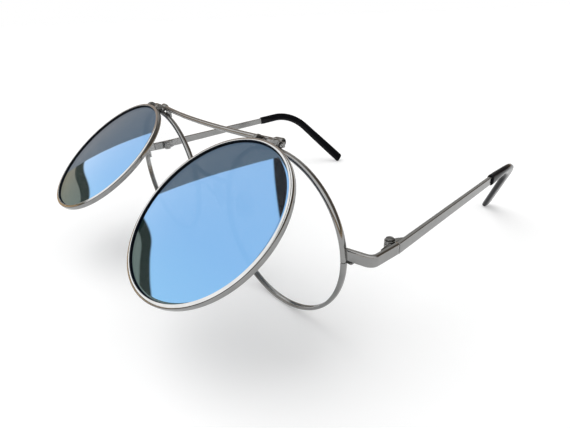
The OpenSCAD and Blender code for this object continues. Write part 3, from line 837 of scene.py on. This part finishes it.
def build_rims():
    """Rear rims with their saw cut, front rims, and the lenses that sit in them."""
    cut = math.asin((STRIP_UP - STRIP_H / 2 - RIM_CUT / 2) / RIM_R)
    slit = RIM_CUT / 2 / RIM_R
    section = rim_outline(RIM_WALL, RIM_DEPTH, RIM_CROWN, RIM_POWER)
    rear = placed(rim_wire(RIM_R, section, cut + slit, cut + 2 * math.pi - slit), at_wide_rim)
    both("rear_wire", rear, nickel, "frame", "rear_rim")
    section = rim_outline(FRONT_WALL, FRONT_DEPTH, FRONT_CROWN, FRONT_POWER)
    section = coned(section, FRONT_WALL, FRONT_DEPTH, LIP_SLOPE)
    front = placed(rim_wire(FRONT_R, section), at_front_rim)
    # plain metal, black as painted shade and dark reflection, and metal with a painted highlight
    finishes = [nickel, painted_shade_black, painted_highlight_nickel]
    pair = both("front_wire", front, finishes, "flip", "front_rim")
    for made, side in zip(pair, (1, -1)):
        finish_front_rim(made, side)
    plain = placed(lens_part(RIM_R, RIM_WALL, LENS_T, LENS_T / 2), at_wide_rim)
    both("clear_glazing", plain, clear, "frame", "clear_lens")
    sun = placed(lens_part(FRONT_R, FRONT_WALL, SUN_LENS_T, SUN_LENS_SET), at_front_rim)
    for made in both("sun_glazing", sun, [smoke, coat], "flip", "mirror_lens"):
        share_out(made, face_rows(made, "normal") @ FORWARD > COAT_AHEAD)


# Brow bar, webs and bridge

def bowed_wire(half_width, bow, front, height, radius, swell=0.0, swell_len=1.0, count=96):
    """A round wire on a level arc that bows forwards: at an angle a from its middle it is at
    (R sin a, front + R (1 - cos a)), where R is half the sum of the squares of half width and bow
    over the bow. A bell curve swells it at both ends where it is brazed, and a quarter circle
    rounds the very ends."""
    arc = (half_width ** 2 + bow ** 2) / (2 * bow)
    half_turn = math.asin(half_width / arc)
    length = 2 * half_turn * arc
    quarter = np.linspace(0, math.pi / 2, 6)[:-1]
    start = radius * 0.6 * (1 - np.cos(quarter))
    share = np.maximum(np.sin(quarter), 0.02)
    middle = np.linspace(start[-1], length - start[-1], count)[1:-1]
    s = np.concatenate([start, middle, length - start[::-1]])
    share = np.concatenate([share, np.ones(len(middle)), share[::-1]])
    near = np.minimum(s, length - s)
    r = (radius + swell * np.exp(-(near / swell_len) ** 2)) * share
    a = s / arc - half_turn
    path = np.stack([arc * np.sin(a), front + arc * (1 - np.cos(a)), np.full(len(a), height)], 1)
    across = np.stack([np.sin(a), -np.cos(a), 0 * a], 1)
    return inside_out(skin(carry(path, across, [0.0, 0.0, 1.0], circle(1.0, 28), r[:, None])))


def slotted_screw(radius, length, head_r, head_h, slot_w=0.3, slot_depth=0.25):
    """A plain shank from height 0 up to a slotted head that starts at `length`: the head's foot is
    turned, and its top is two D shapes either side of the slot, rounded over by a quarter
    circle."""
    foot = length + head_h - slot_depth
    top = length + SINK
    shank = [(0, 0), (radius * 0.8, 0), (radius, radius * 0.2), (radius, top), (0, top)]
    head = [(0, length), (head_r - SINK, length), (head_r, top), (head_r, foot), (0, foot)]
    shells = [revolve(shank, 32), revolve(head)]
    a = math.asin(slot_w / 2 / head_r)
    angles = np.linspace(a, math.pi - a, 30)
    over = min(0.12, slot_depth * 0.5)
    rise = np.linspace(0, math.pi / 2, 5)
    r = head_r - np.concatenate([[0, 0], over * (1 - np.cos(rise))])[:, None]
    z = slot_depth - over + np.concatenate([[over - slot_depth, 0], over * np.sin(rise)])
    z = foot - 0.02 + z[:, None] + 0 * angles
    flat = np.maximum(r * np.sin(angles), slot_w / 2)
    for k in (1, -1):
        shells.append(skin(np.stack([r * np.cos(angles) * k, flat * k, z], -1)))
    return joined(*shells)


def build_brow_bar():
    """The bowed bar. On each of its ends is a sleeve with a bored end, and in the bore a black
    seat, painted shade at the bore's bottom, and a small slotted stud. All three are turned shapes
    that lie along the bar's end."""
    end = HALF + BARREL_OUT - BAR_SHORT - FERRULE_DEEP
    arc = (HALF ** 2 + BROW_BOW ** 2) / (2 * BROW_BOW)
    bow = arc - math.sqrt(arc ** 2 - end ** 2)
    front = BROW_BACK - BROW_BOW
    bar = placed(bowed_wire(end, bow, front, BROW_Z, BROW_D / 2), at_front)
    piece("brow_wire", bar, nickel, "frame", ["brow_bar"])
    slope = math.asin(end / arc)
    tip = [end + FERRULE_DEEP * math.cos(slope), front + bow + FERRULE_DEEP * math.sin(slope),
           BROW_Z]
    r, back, bore, root = FERRULE_R, -FERRULE_LEN, FERRULE_R - FERRULE_WALL, BROW_D / 2
    floor = -FERRULE_DEEP + 0.08
    sleeve = revolve([
        (0, back), (root, back), (root + 0.14, back + 0.1), (r - 0.1, back + 0.55),
        (r - 0.03, back + 0.85), (r, back + 1.3), (r, -0.4), (r - 0.03, -0.2), (r - 0.1, -0.07),
        (r - 0.22, 0), (r - 0.32, -0.02), (bore, -0.1), (bore, floor), (0, floor)])
    # The seat's black is painted shade at the bottom of the bore
    rim, face = bore - 0.02, -FERRULE_DEEP + SEAT_T
    seat = revolve([(0, -FERRULE_DEEP), (rim, -FERRULE_DEEP), (rim, face - 0.04),
                    (rim - 0.04, face), (0, face)])
    stud = slotted_screw(
        radius=0.3, length=0.2, head_r=0.46, head_h=0.3, slot_w=0.16, slot_depth=0.14)
    stud = moved(stud, 0, 0, -FERRULE_DEEP)
    for name, part, finish, slot in (("bar_ferrule", sleeve, hinge_nickel, "hinge_metal"),
                                     ("bar_seat", seat, painted_shade_black, "hinge_metal"),
                                     ("bar_stud", stud, nickel, "screw_steel")):
        part = placed(along_x(part), lambda points: at_front(turn(points, Z, slope) + tip))
        both(name, part, finish, "frame", "flip_barrel")


def build_bridge():
    """The nose bridge: a bowed wire that runs a little way into both rims."""
    half_width = HALF - math.sqrt(RIM_R ** 2 - BRIDGE_UP ** 2) + BRIDGE_SINK
    wire = bowed_wire(half_width, BRIDGE_BOW, -BRIDGE_BOW, RIM_R + BRIDGE_UP, BRIDGE_D / 2,
                      BRAZE_SWELL, BRAZE_LEN)
    piece("bridge_wire", placed(wire, at_front), nickel, "frame", ["nose_bridge"])


def build_webs():
    """The brazed web between brow bar and rim: a plate whose foot follows the rim's circle."""
    right = INNER_LUG_X - SIDE_GAP
    left = right - WEB_LEN + WEB_SHORT
    x = np.linspace(left, right, 12)
    foot = np.stack([x, np.sqrt((RIM_R - 0.2) ** 2 - x ** 2)], 1)
    top = RIM_R + BROW_UP + 0.2
    outline = rounded([*foot, (right, top), (left, top)], 0.02, steps=2, support=0.01)
    web = along_front(extrude(outline, -RIM_DEPTH / 2, -RIM_DEPTH / 2 + WEB_T, bevel=0.12))
    both("web", placed(web, at_rim), nickel, "frame", "brow_web")


# Flip hinges

def build_barrels():
    """The barrel of each flip hinge, with the foot that joins it to the brow bar."""
    barrel = extrude(circle(BARREL_R, 56), -BARREL_IN, BARREL_OUT, bevel=0.22)
    low, back = -AXIS_UP - 0.4, AXIS_FORWARD + BROW_BACK + 0.35
    foot = rounded([(-0.35, low), (back, low), (back, 0.1), (-0.35, 0.4)], [0.1, 0.35, 0.3, 0.1])
    foot = extrude(foot, -BARREL_IN, BARREL_OUT, bevel=0.2)
    barrel = placed(along_x(joined(barrel, foot)), at_axis)
    both("barrel", barrel, hinge_nickel, "frame", "flip_barrel")


def build_lugs():
    """Two lugs on each front rim: a round eye about the flip axis, and an arm down to the rim."""
    front, foot = -AXIS_OUT - FRONT_DEPTH * 0.4, -AXIS_UP - 0.9
    eye = [(LUG_R * math.cos(a), LUG_R * math.sin(a))
           for a in np.linspace(math.radians(-40), math.radians(112), 14)]
    arm = [(front + 0.75, 0.42), (front, -0.55), (front, foot),
           (-AXIS_OUT + FRONT_DEPTH * 0.42, foot), (-LUG_R * 0.7, -LUG_R * 0.72)]
    radii = [0.01] * len(eye) + [0.9, 0.6, 0.15, 0.15, 0.1]
    outline = rounded(eye + arm, radii, steps=6, support=0.02)
    for node, low in (("inner_lug", INNER_LUG_X), ("outer_lug", OUTER_LUG_X)):
        lug = extrude(outline, low, low + LUG_T, LUG_BEVEL, steps=6, support=0.02)
        both(f"{node}_plate", placed(along_x(lug), at_flip), hinge_nickel, "flip", node)


def build_flip_pins():
    """The pin through lugs and barrel, with a round collar and a dark washer at its slotted end.
    The washer's black is painted shade in the hollow of the collar. The collar is an ellipse turned
    about the pin."""
    start, face = INNER_LUG_X - 0.2, OUTER_LUG_X + LUG_T
    pin = slotted_screw(FLIP_SCREW_R, face - start, FLIP_HEAD_R, head_h=0.6, slot_w=FLIP_SLOT)
    t = 2 * math.pi * np.arange(12) / 12
    a = 2 * math.pi * np.arange(48)[:, None] / 48
    r, z = COLLAR_R + COLLAR_THICK / 2 * np.cos(t), face + SINK + COLLAR_TALL / 2 * np.sin(t)
    collar = np.stack([z + 0 * a, r * np.cos(a), r * np.sin(a)], -1)
    pin = joined(along_x(moved(pin, 0, 0, start)), inside_out(skin(collar, closed=True)))
    both("flip_pin", placed(pin, at_flip), nickel, "flip", "flip_screw")
    # The washer is black as painted shade inside the collar
    low, high = face - SINK, face + 0.16
    washer = revolve([(0, low), (WASHER_R, low), (WASHER_R, high - 0.06), (WASHER_R - 0.06, high),
                      (0, high)])
    both("flip_washer", placed(along_x(washer), at_flip), painted_shade_black, "flip", "flip_screw")


def build_coils():
    """The spring beside each barrel: a round wire carried along the helix (x, r cos a, r sin a),
    whose x grows evenly with the angle a."""
    a = np.linspace(0, 2 * math.pi * SPRING_TURNS, 24 * SPRING_TURNS + 1)
    run = SPRING_LEN - 2 * SPRING_WIRE - SIDE_GAP
    out = np.stack([0 * a, np.cos(a), np.sin(a)], 1)
    path = out * SPRING_R
    path[:, 0] = SPRING_X + SPRING_WIRE + run * a / a[-1]
    coil = skin(carry(path, [1.0, 0.0, 0.0], out, circle(SPRING_WIRE / 2, 12)))
    both("coil", placed(coil, at_flip), steel, "flip", "flip_spring")


# Endpieces, locks and temple hinges

def strip_path(count=24):
    """Middle line of the endpiece strip seen from above, with the outward normal at each point: a
    sloping run from the rim, a round bend and a straight run to the temple."""
    bend_x = OUTER_X - BEND_R
    root_x = HALF + RIM_R
    fall = (root_x - bend_x) * math.sin(ROOT_SLOPE)
    bend_y = ROOT_BACK + (BEND_R - fall) / math.cos(ROOT_SLOPE)
    angles = np.linspace(-math.pi / 2 + ROOT_SLOPE, 0, count)
    normal = np.stack([np.cos(angles), np.sin(angles), 0 * angles], 1)
    bend = np.array([bend_x, bend_y, 0]) + normal * (BEND_R - STRIP_T / 2)
    along = np.array([math.cos(ROOT_SLOPE), math.sin(ROOT_SLOPE), 0])
    run = (root_x - ROOT_SINK - bend[0, 0]) / along[0]
    root = bend[0] + along * np.linspace(run, 0, 8)[:-1, None]
    back = bend[-1] + [0, 1, 0] * np.linspace(0, HINGE_BACK - bend_y, 12)[1:, None]
    path = np.vstack([root, bend, back])
    normals = np.vstack([np.repeat(normal[:1], len(root), 0), normal,
                         np.repeat(normal[-1:], len(back), 0)])
    return path, normals


def lock_half(low, high, bevel):
    """Half of a rim lock: a small round-cornered block beside the rim's cut."""
    block = rectangle(-LOCK_SLIM_W / 2, LOCK_SLIM_W / 2, LOCK_SLIM_DEPTH, 0.45)
    return moved(extrude(block, low, high, bevel), LOCK_X, LOCK_Y, 0)


def build_endpieces():
    """The strip from each rim round to its temple hinge, with the upper half of the lock that
    closes the rim. The strip's very end is eased as if with a file."""
    path, normals = strip_path()
    path = np.vstack([path[:-1], path[-1:] - [[0, 0.04, 0]], path[-1:]])
    normals = np.vstack([normals, normals[-1:]])
    scale = np.ones((len(path), 2))
    scale[-1] = END_EASE
    outline = rectangle(-STRIP_T / 2, STRIP_T / 2, STRIP_H, [0.2, 0.56, 0.56, 0.2], steps=9)
    strip = carry(path + [0, 0, HINGE_Z], normals, [0.0, 0.0, 1.0], outline, scale)
    upper = lock_half(LOCK_FOOT, LOCK_FOOT + LOCK_TOP_H, bevel=0.12)
    part = joined(inside_out(skin(strip)), upper)
    both("end_strip", placed(part, at_front), nickel, "frame", "endpiece")


def build_locks():
    """The lower half of each rim lock, and the screw that draws it up from below."""
    top = LOCK_FOOT - RIM_CUT
    lower = placed(lock_half(top - LOCK_LOW_H, top, bevel=0.15), at_front)
    both("lock_block", lower, hinge_nickel, "frame", "rim_lock")
    length = LOCK_SCREW_UP + RIM_CUT + LOCK_SCREW_DOWN
    screw = slotted_screw(radius=0.4, length=length, head_r=0.5, head_h=0.35)
    screw = placed(screw, lambda points: turn(points, X, math.pi))
    screw = moved(screw, LOCK_X, LOCK_Y, LOCK_FOOT + LOCK_SCREW_UP)
    both("lock_pin", placed(screw, at_front), steel, "frame", "rim_screw")


def build_temple_hinges():
    """Middle knuckle, its tongue and the leaf on the endpiece; outer knuckles with their wedges,
    the plate behind them and the screw on the temple."""
    r, half, mid = KNUCKLE_R, KNUCKLE_H / 2, MIDDLE_H / 2
    knuckle = circle(r, 48)
    strip = HINGE_IN - STRIP_T
    tongue = rounded([(0, -r), (strip + 0.1, -r - 0.3), (strip + 0.1, -0.05), (0, 0)],
                     [0.05, 0.1, 0.1, 0.05])
    leaf = rounded([
        (strip - LEAF_T, -r - 1.4), (strip - LEAF_T * 0.55, -r - LEAF_LEN),
        (strip + SINK, -r - LEAF_LEN), (strip + SINK, -r), (strip - LEAF_T, -r)],
        [0.5, 0.15, 0.02, 0.05, 0.1])
    front = joined(extrude(knuckle, -mid, mid, bevel=0.1), extrude(tongue, -mid, mid, bevel=0.1),
                   extrude(leaf, -half, half, bevel=0.15))
    both("hinge_front", placed(front, at_hinge), hinge_nickel, "frame", "front_leaf")
    bar, clear_y = HINGE_IN - BAR_T + SINK, r + KNUCKLE_GAP - 0.1
    end = (bar - LEAF_LEN * math.sin(TEMPLE_IN), LEAF_LEN)
    wedge = rounded([(0.2, BUTT_GAP), (bar, BUTT_GAP), end, (0.1, r)], [0.05, 0.02, 0.1, 0.25])
    plate = rounded([(0.55, clear_y), (bar, clear_y), end], [0.05, 0.02, 0.1])
    inner = mid + KNUCKLE_GAP
    shells = [extrude(outline, low, high, bevel=0.1) for outline in (knuckle, wedge)
              for low, high in ((-half, -inner), (inner, half))]
    shells.append(extrude(plate, -mid - 0.2, mid + 0.2, bevel=0.05))
    both("hinge_rear", placed(joined(*shells), at_hinge), hinge_nickel, "temple", "temple_leaf")
    screw = slotted_screw(TEMPLE_SCREW_R, KNUCKLE_H, KNUCKLE_R * 0.75, head_h=0.6)
    screw = moved(placed(screw, lambda points: turn(points, Z, TEMPLE_SLOT_TURN)), 0, 0, -half)
    both("temple_pin", placed(screw, at_hinge), steel, "temple", "temple_screw")


# Temples and tips

def tip_length():
    """Length of the tip beyond the bar: the last run ends where its rounded end meets the
    floor."""
    end_low = TIP_H_BACK * END_REACH * math.cos(TIP_BEND) * math.cos(TIP_LEAN)
    drop = TIP_BEND_R * (1 - math.cos(TIP_BEND)) * math.cos(TIP_LEAN)
    reach = BAR_LEN + TIP_RUN + TIP_BEND_R * math.sin(TIP_BEND)
    steep = (math.sin(TIP_BEND) * math.cos(TIP_LEAN) * math.cos(TEMPLE_RISE)
             - math.cos(TIP_BEND) * math.sin(TEMPLE_RISE))
    height = HINGE_Z + reach * math.sin(TEMPLE_RISE) - drop * math.cos(TEMPLE_RISE)
    return TIP_RUN + TIP_BEND_R * TIP_BEND + (height - end_low) / steep


def ease(u):
    """Values from 0 to 1 that start and stop gently: u squared times (3 - 2 u)."""
    u = np.clip(u, 0, 1)
    return u * u * (3 - 2 * u)


def tip_frames(s):
    """Centre of the tip at each distance past the bar, with the unit vectors across its height
    and thickness: a straight run, a round bend in a leaning plane, and a straight run down. The
    section twists into that plane."""
    angle = np.clip((s - TIP_RUN) / TIP_BEND_R, 0, TIP_BEND)
    rest = np.maximum(0, s - TIP_RUN - TIP_BEND_R * TIP_BEND)
    down = TIP_BEND_R * (1 - np.cos(angle)) + rest * np.sin(angle)
    along = np.minimum(s, TIP_RUN) + TIP_BEND_R * np.sin(angle) + rest * np.cos(angle)
    centre = np.stack([BAR_X - down * math.sin(TIP_LEAN), BAR_LEN + along,
                       -down * math.cos(TIP_LEAN)], 1)
    lean = TIP_LEAN * ease((s + TIP_COVER) / (TIP_RUN + TIP_TWIST_ON))
    fall = np.stack([-np.sin(lean), 0 * s, -np.cos(lean)], 1)
    high = [0, 1, 0] * np.sin(angle)[:, None] - fall * np.cos(angle)[:, None]
    thick = np.stack([np.cos(lean), 0 * s, -np.sin(lean)], 1)
    return centre, high, thick


def build_bars():
    """The metal bar of each temple: a rectangular section whose height falls evenly towards the
    back, and whose very front edge is eased as if with a file."""
    y = np.concatenate([[BUTT_GAP, BUTT_GAP + 0.05], np.linspace(0.5, BAR_LEN - 0.1, 40)])
    height = BAR_H_FRONT + (BAR_H_BACK - BAR_H_FRONT) * y / BAR_LEN
    path = np.stack([np.full(len(y), BAR_X), y, 0 * y], 1)
    outline = rectangle(-BAR_T / 2, BAR_T / 2, BAR_H_FRONT, [0.15, 0.26, 0.26, 0.15], steps=7)
    scale = np.stack([np.ones(len(y)), height / BAR_H_FRONT], 1)
    scale[0] *= END_EASE
    bar = inside_out(skin(carry(path, [1.0, 0.0, 0.0], [0.0, 0.0, 1.0], outline, scale)))
    both("temple_strip", placed(bar, at_bar), nickel, "temple", "temple_bar")


def build_tips():
    """The black tip over the end of each bar: a superellipse that grows taller along the bend. A
    quarter circle rounds its mouth, and a superellipse its end."""
    length = tip_length()
    quarter = np.linspace(0, math.pi / 2, 6)
    s = np.concatenate([
        -TIP_COVER + TIP_LIP * (1 - np.cos(quarter))[:-1],
        np.linspace(-TIP_COVER + TIP_LIP, length - TIP_CAP, 110)[:-1],
        length - TIP_CAP + TIP_CAP * np.sin(np.linspace(0, math.pi / 2, 14)) * CAP_LAST])
    centre, high, thick = tip_frames(s)
    grown = ease((s - TIP_RUN) / (length - TIP_RUN))
    tall = TIP_H_FRONT + (TIP_H_BACK - TIP_H_FRONT) * grown
    into = np.clip((s - length + TIP_CAP) / TIP_CAP, 0, CAP_LAST)
    k = (1 - into ** CAP_POWER) ** (1 / CAP_POWER)
    mouth = np.clip(1 - (s + TIP_COVER) / TIP_LIP, 0, 1)
    inset = TIP_LIP * (1 - np.sqrt(1 - mouth ** 2))
    tall -= (1 - k) * TIP_T * CAP_TAPER
    scale = np.stack([tall / 2 - inset, TIP_T / 2 * k - inset], 1)
    tip = skin(carry(centre, high, thick, squircle(TIP_POWER), scale))
    both("tip_sleeve", placed(tip, at_bar), acetate, "temple", "temple_tip")


# Nose pads

def build_cushions():
    """The soft pad, with its core and the stem that the fork holds. Up the pad its half width and
    half thickness follow the root of 1 less a power of the height, a little wider below."""
    z = -np.cos(np.linspace(0, math.pi, 40))[1:-1]
    wide = PAD_W / 2 * np.sqrt(1 - np.abs(z) ** PAD_POWER) * (1 - PAD_TAPER * z)
    thick = PAD_T / 2 * np.sqrt(1 - np.abs(z) ** PAD_CROWN_POWER)
    path = np.stack([0 * z, 0 * z, z * PAD_H / 2], 1)
    shell = skin(carry(path, [1.0, 0.0, 0.0], [0.0, 1.0, 0.0], squircle(PAD_POWER, 48),
                       np.stack([thick, wide], 1)))
    core = rectangle(-PAD_CORE_W / 2, PAD_CORE_W / 2, PAD_CORE_H, 1.2)
    core = along_x(extrude(core, 0, 0.5, bevel=0.2))
    stem = rectangle(0.3, PAD_AXIS + PAD_STEM_R, 2 * PAD_STEM_R, [0.05, 0.55, 0.55, 0.05])
    stem = along_front(extrude(stem, -PAD_STEM_T / 2, PAD_STEM_T / 2, bevel=0.08))
    pad = joined(shell, moved(core, 0.25, 0, 0), stem)
    both("pad_cushion", placed(pad, at_pad), silicone, "pad", "nose_pad")


def build_pad_arms():
    """The wire from each rim to its pad, on a cubic Bezier curve that leaves the rim backwards
    and meets the fork from behind, with the fork and its screw."""
    reach = math.sqrt((RIM_R - RIM_WALL / 2) ** 2 - ARM_UP ** 2)
    back = RIM_DEPTH / 2
    start, after = at_rim(np.array([
        [-reach, back - ARM_ROOT, ARM_UP], [-reach, back + ARM_LEAVE, ARM_UP]]))
    end, before = at_pad([FORK_BACK, 0, 0] + np.array([[-0.2, 0, 0], ARM_MEET]))
    t = np.linspace(0, 1, 48)[:, None]
    path = ((1 - t) ** 3 * start + 3 * t * (1 - t) ** 2 * after
            + 3 * t ** 2 * (1 - t) * before + t ** 3 * end)
    way = np.gradient(path, axis=0)
    way /= np.linalg.norm(way, axis=1)[:, None]
    side = np.cross(way, [1, 0, 0.2])
    side /= np.linalg.norm(side, axis=1)[:, None]
    near = t * np.linalg.norm(end - start)
    r = ARM_R + ARM_SWELL * np.exp(-(near / ARM_SWELL_LEN) ** 2)
    wire = skin(carry(path, side, np.cross(way, side), circle(1.0, 20), r))
    half, slot = PAD_FORK_W / 2, PAD_STEM_T / 2 + PAD_PLAY
    cheek = rectangle(FORK_FRONT, FORK_BACK, PAD_FORK_H, 0.35)
    web = rectangle(FORK_BACK - PAD_FORK_T, FORK_BACK, PAD_FORK_H, 0.15)
    plates = (cheek, -half, -slot), (cheek, slot, half), (web, SINK - half, half - SINK)
    fork = joined(*(extrude(*plate, bevel=0.08) for plate in plates))
    fork = placed(along_front(fork), at_pad)
    both("pad_wire", joined(wire, fork), nickel, "frame", "pad_arm")
    screw = revolve([
        (0, -half - 0.02), (PAD_SCREW_R, -half - 0.02), (PAD_SCREW_R, half), (0.55, half),
        (0.6, half + 0.06), (0.55, half + 0.25), (0.3, half + 0.34), (0, half + 0.35)], 32)
    screw = placed(moved(along_front(screw), PAD_AXIS, 0, 0), at_pad)
    both("pad_pin", screw, steel, "frame", "pad_screw")


build_rims()
build_brow_bar()
build_bridge()
build_webs()
build_barrels()
build_lugs()
build_flip_pins()
build_coils()
build_endpieces()
build_locks()
build_temple_hinges()
build_bars()
build_tips()
build_cushions()
build_pad_arms()


# Stage: floor, world, surround, lamps and camera

def seen_ray(tree):
    """1 for rays that show a surface to the camera, in shiny surfaces or through clear ones, and 0
    for the rest."""
    path = add(tree, "LightPath").outputs
    direct = maths(tree, "MAXIMUM", path["Is Camera Ray"], path["Is Glossy Ray"])
    return maths(tree, "MAXIMUM", direct, path["Is Transmission Ray"])


def build_floor():
    """A plain pale floor that keeps the object's shadow, lifted to white where nothing shades
    it."""
    corners = FLOOR_HALF * np.array([(-1, -1, 0), (1, -1, 0), (1, 1, 0), (-1, 1, 0)])
    floor = meshed("floor", corners, [(0, 1, 2, 3)])
    material, tree, shader = principled("pale floor")
    fill(tree, shader, Base_Color=(FLOOR_GREY, FLOOR_GREY, FLOOR_GREY, 1), Roughness=1.0,
         Specular_IOR_Level=0.0, Emission_Color=(1, 1, 1, 1),
         Emission_Strength=maths(tree, "MULTIPLY", seen_ray(tree), FLOOR_LIFT))
    floor.data.materials.append(material)


def build_world():
    """A white surround in what the camera and shiny surfaces see, and a softer grey for the light
    it gives."""
    world = bpy.data.worlds.new("studio")
    bpy.context.scene.world = world
    world.use_nodes = True
    tree = world.node_tree
    fill(tree, tree.nodes["Background"], Color=(1, 1, 1, 1),
         Strength=ranged(tree, seen_ray(tree), low=0.5, high=1.0))


def surround_colour(tree):
    """The colour of the surround by place. It is bright in front, and behind stands a wall, pale
    on the wearer's right and brown on the left. A brown band with a dark one above it runs along
    the horizon, both higher in front. A narrow black flag hangs across the top, and a brownish
    cloth on the right, a little behind."""
    place = object_place(tree)
    x, y, z = add(tree, "SeparateXYZ", Vector=place).outputs

    def past(value, edge):
        return ranged(tree, value, edge[0] * DOME_R, edge[1] * DOME_R, ease="SMOOTHSTEP")

    def along(direction):
        node = add(tree, "VectorMath")
        node.operation = "DOT_PRODUCT"
        feed(tree, node.inputs[0], place)
        feed(tree, node.inputs[1], direction)
        return node.outputs["Value"]

    bright, black = (1.5, 1.5, 1.5, 1), (0.012, 0.014, 0.016, 1)
    pale_wall, brown_wall = (0.66, 0.65, 0.63, 1), (0.2, 0.17, 0.14, 1)
    dark_band, brown_band = (0.045, 0.055, 0.03, 1), (0.62, 0.44, 0.26, 1)
    brown_cloth = (0.45, 0.385, 0.335, 1)
    wall = blend(tree, past(x, WALL_LEFT), pale_wall, brown_wall)
    room = blend(tree, past(y, WALL_BACK), bright, wall)
    level = maths(tree, "MULTIPLY_ADD", past(y, BAND_STEP), BAND_RISE * DOME_R, z)
    banded = blend(tree, past(level, DARK_BAND_TOP), dark_band, room)
    banded = blend(tree, past(level, BROWN_BAND_TOP), brown_band, banded)
    across = along(FLAG_ACROSS)
    strip = maths(tree, "SUBTRACT", past(across, FLAG_NEAR), past(across, FLAG_FAR), clamp=True)
    flag = maths(tree, "MULTIPLY", strip, past(z, FLAG_LOW), clamp=True)
    flagged = blend(tree, flag, banded, black)
    cloth = maths(tree, "SUBTRACT", past(along(CLOTH_ACROSS), CLOTH_NEAR), past(y, CLOTH_FAR),
                  clamp=True)
    return blend(tree, cloth, flagged, brown_cloth)


def build_surround():
    """The studio as shiny surfaces see it: a half sphere seen in reflections only. Its points are
    the radius times (cos v cos u, cos v sin u, sin v)."""
    u = np.linspace(0, 2 * math.pi, 49)[:-1]
    v = np.linspace(0.001, math.pi / 2 - 0.001, 20)[:, None]
    rings = DOME_R * np.stack([np.cos(v) * np.cos(u), np.cos(v) * np.sin(u), np.sin(v) + 0 * u], -1)
    dome = meshed("dome", *skin(rings, caps=False))
    material, tree, shader = principled("studio surround")
    fill(tree, shader, Base_Color=(0, 0, 0, 1), Roughness=1.0, Specular_IOR_Level=0.0,
         Emission_Color=surround_colour(tree), Emission_Strength=1.0)
    dome.data.materials.append(material)
    dome.visible_camera = False
    dome.visible_diffuse = False
    dome.visible_shadow = False
    dome.visible_transmission = False
    dome.visible_volume_scatter = False


def build_lamps():
    """Two broad soft suns, so that the floor is evenly lit as far as it goes. Shiny surfaces
    don't show them."""
    for name, source, angle, strength in (
            ("key", (-0.45, -0.35, 1.0), 55, 1.35), ("fill", (0.7, 0.15, 1.0), 75, 0.6)):
        lamp = bpy.data.lights.new(name, "SUN")
        lamp.angle = math.radians(angle)
        lamp.energy = strength
        made = shown(name, lamp)
        made.rotation_mode = "QUATERNION"
        made.rotation_quaternion = Vector(source).to_track_quat("Z", "Y")
        made.visible_glossy = False


def build_camera():
    """The camera at the photograph's viewing angle, as fitted to the rims, bars and tips. Its
    place is in millimetres from midway between the centres of the rear rims."""
    eye = Vector((121.660, -66.368 + RIM_Y, 58.089 + RIM_R)) * MM
    right = Vector((0.643512, 0.764703, -0.033498))
    up = Vector((-0.316634, 0.305786, 0.897907))
    forward = Vector((-0.696875, 0.567207, -0.438908))
    data = bpy.data.cameras.new("camera")
    data.sensor_width = SENSOR
    data.lens = FOCAL_PIXELS * SENSOR / PHOTO_WIDTH
    data.clip_start = 0.005
    data.clip_end = 50.0
    camera = shown("camera", data)
    turned = Matrix((right, up, -forward)).transposed()
    camera.matrix_world = Matrix.Translation(eye) @ turned.to_4x4()
    bpy.context.scene.camera = camera


build_floor()
build_world()
build_surround()
build_lamps()
build_camera()
bpy.context.scene.view_settings.view_transform = "Standard"
